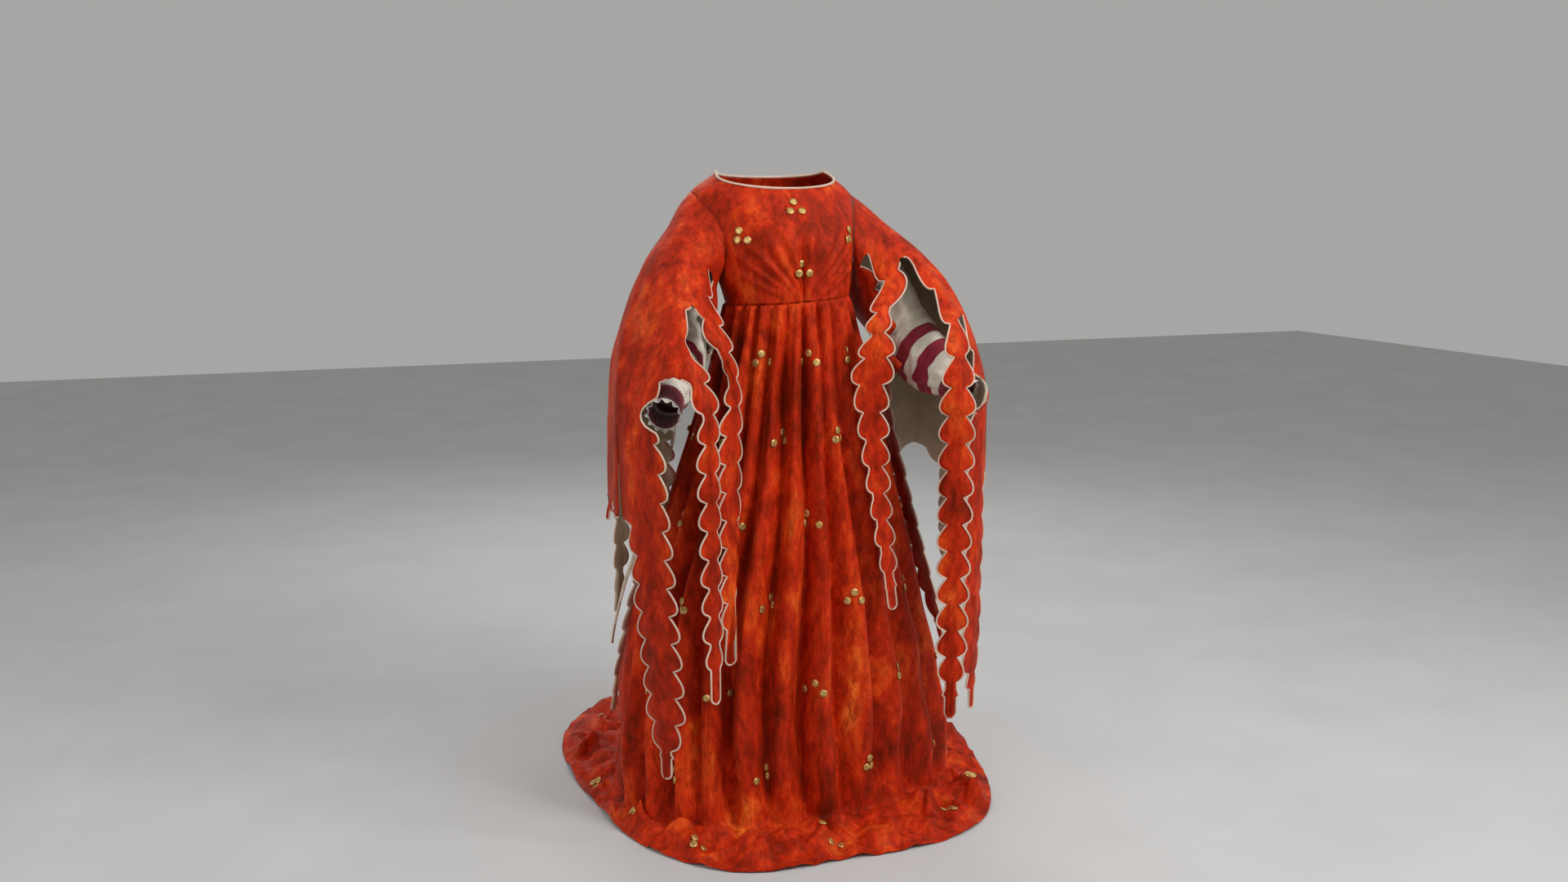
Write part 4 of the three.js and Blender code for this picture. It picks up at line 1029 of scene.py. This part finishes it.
def clear_of_body(p: Array, margin: Array, soft: Array) -> Array:
    """Moves points straight out of the body's way.

    Args:
        p: Points, with heights above the floor.
        margin: The least distance from the bodice or the skirt.
        soft: How much the cloth rounds off where it leaves what it lies on.

    Returns:
        The moved points.
    """
    on_skirt = p[..., 2] < WAIST_HEIGHT
    zs, zt = np.maximum(p[..., 2], LANDING), np.clip(p[..., 2], 1.150, NECK_HEIGHT)
    pick = lambda a, b: np.where(on_skirt, SKIRT(a, zs), TORSO(b, zt))  # noqa: E731
    cx, cy = pick("x", "x"), pick("y", "y")
    ox, oy = p[..., 0] - cx, p[..., 1] - cy
    across = np.where(on_skirt, np.where(ox > 0, SKIRT("left", zs), SKIRT("right", zs)), TORSO("half", zt))
    depth = np.where(oy < 0, pick("front", "front"), pick("back", "back"))
    stand = margin + np.where(on_skirt, SKIRT("fold", zs) * 1.2, 0.0)
    level = np.maximum(np.hypot(ox / (across + stand), oy / (depth + stand)), 1e-6)
    kept = (level + 1 + np.sqrt((level - 1) ** 2 + soft**2)) / 2
    return np.stack([cx + ox * kept / level, cy + oy * kept / level, p[..., 2]], -1)


@dataclass
class Sleeve:
    """A bell sleeve slashed into streamers, its lining, and the cord on its cut edges."""

    name: str
    side: int
    sections: Table
    strips: tuple[Strip, ...]
    slides: tuple[Slide, ...]
    arm: Table
    finishes: Finishes
    columns: int = 13
    wall: float = 0.0013
    lining_depth: float = 0.0017
    lining_wall: float = 0.0007
    seed: int = 40

    def bell(self, turn: Array, z: Array) -> Array:
        """The sleeve's own section, by degrees round from the outside by the front."""

        def ring(at: Array) -> Array:
            out, tilt = self.sections("across", at) * cos(turn), self.sections("tilt", at)
            x = self.sections("x", at) + sin(tilt) * out
            y = self.sections("y", at) - self.sections("deep", at) * sin(turn)
            return np.stack(np.broadcast_arrays(x, y, at + cos(tilt) * out), -1)

        top = np.full(np.shape(z), 1.320)
        edge = armhole_edge(turn, self.side)
        hold = 1 - smooth(top - z, 0, 0.070)
        p = ring(z) + (edge - ring(top)) * hold[..., None]
        p[..., 0] = np.maximum(p[..., 0], edge[..., 0]) + 0.002
        return p

    def surface(self, stop: Array, hanging: Array, z: Array, slash: Array) -> Array:
        """The cloth at a stop of the armhole, between the bell and its hanging place."""
        whole = np.clip(np.floor(stop).astype(int), 0, len(ARMHOLE_STOPS) - 2)
        turn = mix(ARMHOLE_STOPS[whole], ARMHOLE_STOPS[whole + 1], stop - whole)
        start = np.maximum(slash, SETTLE_FROM)
        settled = smooth((start - z) / SETTLE_OVER, 0, 1)
        p = self.bell(turn, np.maximum(z, SETTLE_TO))
        p[..., 2] = self.bell(turn, z)[..., 2]
        p = mix(p, np.stack([hanging[..., 0], hanging[..., 1], z], -1), settled[..., None])
        return p * np.array([self.side, 1, 1])

    def clear_of_arm(self, p: Array, z: Array) -> Array:
        """Moves points out of the way of the arm inside."""
        ats = np.arange(0.4, 5.0001, 0.05)
        axis = np.stack([self.side * self.arm("x", ats), self.arm("y", ats), self.arm("z", ats)], -1)
        radius = self.arm("r", ats)
        away = p[..., None, :] - axis
        gaps = np.linalg.norm(away, axis=-1) - radius
        nearest = gaps.argmin(-1)
        gap = np.take_along_axis(gaps, nearest[..., None], -1)[..., 0]
        needed = 0.011 * smooth(ats[nearest], 0.4, 1.2)
        push = np.maximum(needed - gap, 0) * (z < 1.320)
        return p + unit(p - axis[nearest]) * push[..., None]

    def settle(self, p: Array, z: Array) -> Array:
        """Points clear of the arm inside and of the body beside."""
        below = smooth(1.320 - z, 0, 0.030)
        hanging = smooth(WAIST_HEIGHT - p[..., 2], 0, 0.350)
        margin = mix(0.002, mix(0.005, 0.015, hanging), below)
        return clear_of_body(self.clear_of_arm(p, z), margin, 0.05 * below)

    def rows(self, strip: Strip) -> tuple[Array, Array]:
        """A strip's rows and how far the cut edge stands out at each, from the armhole down."""
        start = max(one.slash for one in self.strips)
        heights, stands = [], []
        for lobe in range(40):
            for down, out in DAG:
                heights.append(start - lobe * DAG_PITCH - down)
                stands.append(out - DAG_DEPTH / 2)
        heights, stands = np.array(heights), np.array(stands)
        keep = heights > strip.tip + FINGER_LENGTH + 0.003
        head = np.linspace(1.320, start, 12)[:-1]
        above_tip = [0.0470, 0.0460, 0.036, 0.026, 0.017, 0.0115, 0.0070, 0.0036, 0.0014, 0.0003]
        finger = strip.tip + np.array(above_tip)
        z = np.concatenate([head, heights[keep], finger])
        out = np.concatenate([np.zeros(len(head)), stands[keep], np.zeros(len(finger))])
        return z, out

    def strip_points(self, s: int) -> tuple[Array, Array, Array]:
        """A strip's points.

        Returns:
            Points by row and column, and for each edge whether it is cut at each row.
        """
        strip, count = self.strips[s], len(self.strips)
        before, after = self.strips[s - 1], self.strips[(s + 1) % count]
        heights, stand = self.rows(strip)
        u = np.linspace(0, 1, self.columns)[None, :]
        z = np.broadcast_to(heights[:, None], (len(heights), self.columns))
        swing = strip.swing * smooth((SETTLE_TO - heights) / (SETTLE_TO - strip.tip), 0, 1)
        edges = []
        for own, shared, slash in (
            ((strip.x1, strip.y1), (before.x2, before.y2), strip.slash),
            ((strip.x2, strip.y2), (after.x1, after.y1), after.slash),
        ):
            opened = np.sqrt(np.clip((slash - heights) / 0.090, 0, 1))[:, None]
            middle = (np.array(own) + np.array(shared)) / 2
            place = mix(middle, np.array(own), opened)
            place[:, 0] += swing
            edges.append(place)
        a, b = edges[0][:, None, :], edges[1][:, None, :]
        out = unit(np.stack([b[..., 1] - a[..., 1], a[..., 0] - b[..., 0]], -1)) * -0.007
        hanging = mix(a, b, u[..., None]) + out * (4 * u * (1 - u))[..., None]
        slash = mix(strip.slash, after.slash, u)
        flat = np.zeros_like(z)
        p = self.settle(self.surface(2 * s + 2 * u + flat, hanging, z, slash + flat), z)
        p = self.slid(s, p, heights, u, (strip.slash, after.slash))
        p = self.cut(p, heights, stand, u, strip, (strip.slash, after.slash))
        p = self.settle(p, z)
        return p, heights < strip.slash, heights < after.slash

    def slid(self, s: int, p: Array, heights: Array, u: Array, slashes: tuple[float, float]) -> Array:
        """Moves a strip along its width where a slash is held open."""
        along = unit(p[:, -1:, :] - p[:, :1, :])
        free = [smooth((one - heights) / 0.090, 0, 1) for one in (slashes[0], sum(slashes) / 2, slashes[1])]
        move = np.zeros(p.shape[:2])
        for row in (row for row in self.slides if row.strip == s):
            near = np.exp(-(((heights - row.z) / row.over) ** 2))
            first, middle, second = (
                part * near * share for part, share in zip((row.first, row.middle, row.second), free)
            )
            move += np.where(
                u < 0.5,
                mix(first[:, None], middle[:, None], u * 2),
                mix(middle[:, None], second[:, None], u * 2 - 1),
            )
        return p + along * move[..., None]

    def cut(
        self, p: Array, heights: Array, stand: Array, u: Array, strip: Strip, slashes: tuple[float, float]
    ) -> Array:
        """Shapes the two edges into dags, and the tip into a finger."""
        middle = (self.columns - 1) // 2
        centre = p[:, middle : middle + 1, :].copy()
        left = heights - strip.tip
        half = FINGER_WIDTH / 2
        nose = half * np.sqrt(np.clip(1 - np.clip((half - left) / half, 0, 1) ** 2, 0.0004, 1))
        result = p.copy()
        for edge, slash in zip((0, self.columns - 1), slashes):
            width = np.linalg.norm(p[:, edge] - centre[:, 0], axis=-1)
            set_back = 0.013 * (1 - smooth((slash - heights) / 0.160, 0, 1))
            slim = mix(0.80, 1.0, smooth(left, 0, 0.60))
            slim = slim * mix(0.42, 1.0, smooth(left, FINGER_LENGTH - 0.01, FINGER_LENGTH + 0.10))
            slim = mix(1.0, slim, smooth((slash - heights) / 0.150, 0, 1))
            reach = np.maximum(width * slim + stand - set_back, half)
            reach = np.where(left < FINGER_LENGTH - 0.0005, nose, reach)
            factor = np.where(heights < slash, reach / np.maximum(width, 1e-6), 1.0)
            own = u[0] < 0.5 if edge == 0 else u[0] > 0.5
            result[:, own] = centre + (p[:, own] - centre) * factor[:, None, None]
        last = self.last_row(heights, strip)
        wide = smooth(np.linalg.norm(result[last, -1] - centre[last, 0]), 0.018, 0.035)
        near = smooth(left, FINGER_LENGTH + 0.05, FINGER_LENGTH) * (left > FINGER_LENGTH - 0.0005)
        result[..., 2] -= (0.024 * wide * near)[:, None] * np.abs(sin(540 * u))
        return result

    def last_row(self, heights: Array, strip: Strip) -> int:
        """The last row above the finger."""
        return int(np.flatnonzero(heights > strip.tip + FINGER_LENGTH - 0.0005)[-1])

    def cord_path(self, p: Array, cut: tuple[Array, Array], last: int) -> Array:
        """The chain of points round a strip's cut edges, its hem and its finger."""
        m = self.columns // 2
        row = p[last]
        off = np.linalg.norm((row - row[m])[:, :2], axis=-1)
        clear = (off > FINGER_WIDTH / 2 + 0.002) & (off.max() > 0.018)
        first, second = (np.flatnonzero(one) for one in cut)
        return np.concatenate(
            [
                p[first[first <= last], 0],
                row[1:m][clear[1:m]],
                p[first[first > last], 0],
                p[-1:, m],
                p[second[second > last], -1][::-1],
                row[m + 1 : -1][clear[m + 1 : -1]],
                p[second[second <= last], -1][::-1],
            ]
        )

    def draped(self, p: Array, s: int) -> Array:
        """Adds soft folds down the cloth, none at the armhole."""
        z = p[..., 2]
        u = np.broadcast_to(np.linspace(0, 1, self.columns), z.shape) + s
        du = np.gradient(p, axis=1)
        dz = np.gradient(p, axis=0)
        normal = unit(np.cross(dz, du)) * self.side
        shared = 1 - np.abs(2 * (u - s) - 1) ** 6
        folds = 0.0042 * ripple(u, z, 0.9, 0.55, self.seed) + 0.0016 * ripple(u, z, 0.35, 0.16, self.seed + 1)
        fade = smooth(1.300 - z, 0, 0.10)
        return p + normal * (folds * fade * shared)[..., None]

    def build(self) -> None:
        """Makes and dresses the sleeve."""
        points, faces, count, chains = [], [], 0, []
        for s in range(len(self.strips)):
            p, first_cut, second_cut = self.strip_points(s)
            p = self.draped(p, s)
            faces += grid_faces(*p.shape[:2], start=count)
            points.append(p.reshape(-1, 3))
            count += p.shape[0] * p.shape[1]
            last = self.last_row(self.rows(self.strips[s])[0], self.strips[s])
            chains.append(self.cord_path(p, (first_cut, second_cut), last))
        cloth = make_object(f"velvet_sleeve_{self.name}", np.concatenate(points), faces)
        modify(cloth, "WELD", merge_threshold=WELD_DISTANCE)
        point_outwards(cloth, (self.side * 0.30, -0.08, 0.9))
        inside = put_in_scene(f"lining_sleeve_{self.name}", cloth.data.copy())
        thicken(cloth, self.wall)
        thicken(inside, self.lining_wall, self.lining_depth)
        nodes = (f"sleeve_{self.name}_front", f"sleeve_{self.name}_back")
        dress(cloth, self.finishes.velvet, "velvet", nodes)
        dress(inside, self.finishes.lining, "lining", (f"sleeve_lining_{self.name}",))
        cords = path_object(f"edge_cord_{self.name}", chains)
        CORD.use(cords, Radius=0.0021, Sides=6, Finish=self.finishes.cord)
        dress(cords, self.finishes.cord, "binding")


# ---------------------------------------------------------------- undersleeves
@dataclass
class Undersleeve:
    """The striped undersleeve with its pleated cuff and lace frill."""

    name: str
    side: int
    arm: Table
    finishes: Finishes
    turns: int = 72
    wall: float = 0.0010
    seam: float = 2.1

    def axis(self, at: Array) -> Array:
        """The arm's middle line."""
        return np.stack([self.side * self.arm("x", at), self.arm("y", at), self.arm("z", at)], -1)

    def surface(self, turn: Array, at: Array, swell: Array) -> Array:
        """The tube round the arm.

        Args:
            turn: Degrees round from the top by the front.
            at: Place down the arm.
            swell: Addition to the radius.

        Returns:
            The points.
        """
        along = unit(self.axis(np.minimum(at + 0.05, 5)) - self.axis(np.maximum(at - 0.05, 0)))
        across = unit(np.cross(np.array([0.0, 0.0, 1.0]), along))
        up = np.cross(along, across)
        own = -self.side * turn
        r = self.arm("r", at)
        sag = 1 + 0.08 * np.maximum(-cos(own), 0) * smooth(at, 1.2, 2.4)
        around = up * (r * cos(own) * sag)[..., None] + across * (r * 0.92 * sin(own))[..., None]
        p = self.axis(at) + around + unit(around) * swell[..., None]
        edge = armhole_edge(turn, self.side)
        size = edge.shape[:-1]
        middle = np.stack([edge[..., 0], np.full(size, 0.008), np.full(size, 1.320)], -1)
        edge = edge + unit(middle - edge) * 0.0106
        edge[..., 0] = self.side * (edge[..., 0] + 0.0045)
        p = mix(p, edge, (1 - smooth(at, 0, 0.5))[..., None])
        return clear_of_body(p, 0.002 + 0.022 * smooth(at, 0, 0.3), 0.0)

    def creases(self, turn: Array, at: Array) -> Array:
        """Soft folds: long ones above the elbow and pulled ones across it."""
        upper = 0.0032 * ripple(cos(turn) * 0.9, at, 0.45, 2.6, 51) * smooth(at, 0.3, 1.0)
        pulled = 0.0020 * ripple(at + cos(turn) * 0.5, sin(turn), 0.30, 1.4, 52) * smooth(at, 1.2, 1.9)
        elbow = np.exp(-(((at - 1.2) / 0.6) ** 2))
        full = 0.014 * np.maximum(cos(turn - 35), 0) * elbow * smooth(at, 0.3, 0.8)
        return (upper + pulled) * (1 - smooth(at, 3.7, 4.0)) + full

    def tube(self, name: str, ats: Array, swell: Array, wall: float, turns: int) -> Piece:
        """A closed tube of cloth with its UV map in metres down the arm."""
        turn = np.linspace(0, 360, turns + 1)[None, :]
        at = np.broadcast_to(ats[:, None], (len(ats), turns + 1))
        points = self.surface(np.broadcast_to(turn, at.shape), at, swell)[:, :-1]
        made = make_object(name, points, grid_faces(len(ats), turns, closed=True))
        places = np.linspace(0, 5, 400)
        lengths = np.concatenate([[0], np.cumsum(np.linalg.norm(np.diff(self.axis(places), axis=0), axis=1))])
        down = np.interp(at[:, :-1], places, lengths) + 0.016 * cos(turn[:, :-1])
        round_share = np.broadcast_to(turn[:, :-1] / 360, down.shape)
        add_uv(made, np.stack([round_share.ravel(), down.ravel()], -1))
        middle = self.axis(np.array([ats.mean()]))[0]
        point_outwards(made, middle)
        thicken(made, wall)
        return made

    def build(self) -> None:
        """Makes and dresses the undersleeve, the cuff and the frill."""
        turn = np.linspace(0, 360, self.turns + 1)[None, :]
        cotton, striped = self.finishes.cotton, self.finishes.striped
        upper, lower = np.linspace(0, self.seam, 46), np.linspace(self.seam, 4.0, 56)
        pieces = (
            ("cream_undersleeve_upper", upper, "upper", cotton, "cotton", (0.40, 0.26)),
            ("striped_undersleeve_lower", lower, "lower", striped, "striped_cotton", (0.40, 0.19)),
        )
        for name, ats, node, finish, slot, flat in pieces:
            swell = self.creases(np.broadcast_to(turn, (len(ats), self.turns + 1)), ats[:, None])
            made = self.tube(f"{name}_{self.name}", ats, swell, self.wall, self.turns)
            dress(made, finish, slot, (f"undersleeve_{self.name}_{node}",))
        self.cuff()

    def cuff(self) -> None:
        """The pleated crimson cuff and the ruffled lace at its end."""
        sides = 192
        turn = np.linspace(0, 360, sides + 1)[None, :]
        ats = np.linspace(4.0, 4.82, 16)
        puff = 0.4 + 0.6 * np.sin(math.pi * (ats[:, None] - 4.0) / 0.82)
        pleat = 0.0021 * np.cos(np.radians(turn * 32)) * puff
        swell = 0.0012 + pleat
        made = self.tube(f"pleated_cuff_{self.name}", ats, swell, 0.0014, sides)
        dress(made, self.finishes.crimson, "crimson", (f"cuff_{self.name}",))
        ats = np.linspace(4.80, 5.0, 12)
        share = ((ats - 4.80) / 0.20)[:, None]
        scallop = 0.5 + 0.5 * np.cos(np.radians(turn * 24))
        swell = share * (0.0042 * np.cos(np.radians(turn * 12)) + 0.0012 * scallop) + 0.001
        made = self.tube(f"lace_frill_{self.name}", ats, swell, 0.0008, sides)
        dress(made, self.finishes.lace, "lace", (f"cuff_frill_{self.name}",))


# ---------------------------------------------------------------- gold discs
@dataclass
class GoldDiscs:
    """Small gold discs, mostly in threes, over the bodice and the skirt."""

    finishes: Finishes
    skirt: Skirt
    # Groups of three stand in staggered rings, on the skirt this many degrees apart.
    step: float = 36.0
    bodice_rings: tuple[float, ...] = (1.240, 1.310, 1.370)
    skirt_rings: tuple[float, ...] = (1.050, 0.880, 0.700, 0.520, 0.330, 0.140)
    train_share: float = 0.60
    train_radius: float = 0.42
    train_slope: float = 6.0
    bodice_turn: float = 370.0
    spread: float = 0.013
    radius: float = 0.0085
    thickness: float = 0.0026
    lift: float = 0.0020

    def on(
        self, surface: Callable[[Array, Array], Array], middle: tuple[float, float], turn: float, scale: Array
    ) -> list[tuple[Array, Array]]:
        """Finds where one group's discs go, each on the part of the cloth near it that faces outwards most.

        Args:
            surface: Gives points of the cloth from degrees and heights.
            middle: Degrees and height of the group's middle.
            turn: Turn of the first disc round that middle.
            scale: Degrees for a metre round the body, and change of height for a metre down the cloth.

        Returns:
            A point and a direction for each disc.
        """
        found = []
        for own in turn + np.arange(3) * 120:
            a = middle[0] + cos(own) * self.spread * scale[0] + np.linspace(-0.6, 0.6, 5)
            b = np.full(a.shape, middle[1] + sin(own) * self.spread * scale[1])
            points = surface(a, b)
            along = surface(a + 1.2, b) - surface(a - 1.2, b)
            step = 0.007 * scale[1]
            facing = unit(np.cross(along, surface(a, b + step) - surface(a, b - step)))
            out = unit((points - np.array([0, -0.04, 0])) * np.array([1, 1, 0]))
            out = np.where(points[:, 2:] < 0.06, np.array([0, 0, 1.0]), out)
            level = (facing * out).sum(-1)
            best = int((np.abs(level) - 0.04 * np.abs(a - a.mean())).argmax())
            found.append((points[best], facing[best] * np.sign(level[best])))
        return found

    def build(self) -> None:
        """Makes and dresses all discs as one piece."""
        found = []
        crease = Bodice(self.finishes)
        bodice = lambda a, z: crease.creased(torso(a, z)[None], a[None])[0]  # noqa: E731
        for k, z in enumerate(self.bodice_rings):
            for angle in (np.arange(4) * 90 + 45 * (k % 2)).tolist():
                if abs(sin(angle)) < 0.8:
                    found += self.on(bodice, (angle, z), 90, (self.bodice_turn, 1.0))
        rounds = np.arange(-180, 180, self.step)
        for k, z in enumerate(self.skirt_rings):
            for angle in (rounds + self.step / 2 * (k % 2)).tolist():
                across = float(np.hypot(SKIRT("left", z) * cos(angle), SKIRT("front", z) * sin(angle)))
                found += self.on(self.skirt.fall, (angle, z), 90, (RADIAN / across, 1.0))
        for angle in rounds.tolist():
            scale = (RADIAN / self.train_radius, self.train_slope)
            found += self.on(self.skirt.train, (angle, self.train_share), 0, scale)
        points, facing = np.array(found).transpose(1, 0, 2)
        made = path_object("gold_discs", [points + facing * self.lift])
        layer = made.data.attributes.new("facing", "FLOAT_VECTOR", "POINT")
        layer.data.foreach_set("vector", facing.ravel())
        DISC.use(made, Radius=self.radius, Height=self.thickness, Finish=self.finishes.gold)
        dress(made, self.finishes.gold, "binding")


# ---------------------------------------------------------------- studio
@dataclass
class Studio:
    """Pale floor, soft lights and the camera."""

    distance: float = 3.2
    height: float = 1.4
    azimuth: float = -20.0
    pitch: float = 9.8835
    lens: float = 32.5
    sideways: float = 0.01883

    def build(self) -> None:
        """Makes the floor, the lights and the camera."""
        corners = np.array([(-9, -9, 0), (9, -9, 0), (9, 9, 0), (-9, 9, 0)])
        floor = make_object("floor", corners, [(0, 1, 2, 3)])
        tree, shader, material = new_material("pale_floor")
        grain = tree.noise(tree.place(), 3.0, 4).outputs["Fac"]
        colour = tree.ramp(grain, (0.3, (0.52, 0.52, 0.515)), (0.7, (0.56, 0.56, 0.555)))
        tree.fill(shader, {"Base Color": colour, "Roughness": 0.9})
        floor.data.materials.append(material)
        world = bpy.data.worlds.new("studio")
        world.use_nodes = True
        sky = {"Color": (0.86, 0.85, 0.83, 1.0), "Strength": 0.45}
        tree.fill(world.node_tree.nodes["Background"], sky)
        bpy.context.scene.world = world
        self.light("key", (1.7, -2.4, 1.5), 1.3, 80.0)
        self.light("fill", (-2.8, -1.2, 0.4), 2.0, 26.0)
        self.light("top", (0.2, -0.4, 2.2), 2.0, 14.0)
        self.light("back", (0.6, 2.8, 1.3), 2.0, 34.0)
        bpy.context.scene.view_settings.view_transform = "Standard"
        self.camera()

    def light(self, name: str, place: tuple[float, float, float], size: float, power: float) -> None:
        """A soft square light that faces the gown."""
        data = bpy.data.lights.new(name, "AREA")
        data.size, data.energy = size, power
        made = put_in_scene(name, data)
        made.location = place
        made.rotation_euler = (Vector((0, 0, -0.6)) - Vector(place)).to_track_quat("-Z", "Y").to_euler()

    def camera(self) -> None:
        """The camera, a little to the wearer's right and tipped down."""
        a, p = math.radians(self.azimuth), math.radians(self.pitch)
        back, right = Vector((math.sin(a), -math.cos(a), 0)), Vector((math.cos(a), math.sin(a), 0))
        data = bpy.data.cameras.new("camera")
        data.sensor_width, data.lens = 36.0, self.lens
        made = put_in_scene("camera", data)
        raised = Vector((0, 0, self.height - NECK_HEIGHT))
        made.location = back * self.distance + right * self.sideways + raised
        forward = -back * math.cos(p) + Vector((0, 0, -math.sin(p)))
        made.rotation_euler = forward.to_track_quat("-Z", "Y").to_euler()
        bpy.context.scene.camera = made


def main() -> None:
    """Builds every sub-assembly in order."""
    finishes = Finishes()
    Studio().build()
    Bodice(finishes).build()
    skirt = Skirt(finishes)
    skirt.build()
    sides = (
        ("right", -1, RIGHT_SECTIONS, RIGHT_STRIPS, RIGHT_SLIDES, RIGHT_ARM, 60),
        ("left", 1, LEFT_SECTIONS, LEFT_STRIPS, LEFT_SLIDES, LEFT_ARM, 70),
    )
    for name, side, sections, strips, slides, arm, seed in sides:
        Sleeve(name, side, sections, strips, slides, arm, finishes, seed=seed).build()
        Undersleeve(name, side, arm, finishes).build()
    GoldDiscs(finishes, skirt).build()


if __name__ == "__main__":
    logging.basicConfig(level=logging.INFO, format="%(message)s")
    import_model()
    CORD, DISC, STITCH = cord_tool(), disc_tool(), stitch_tool()
    main()
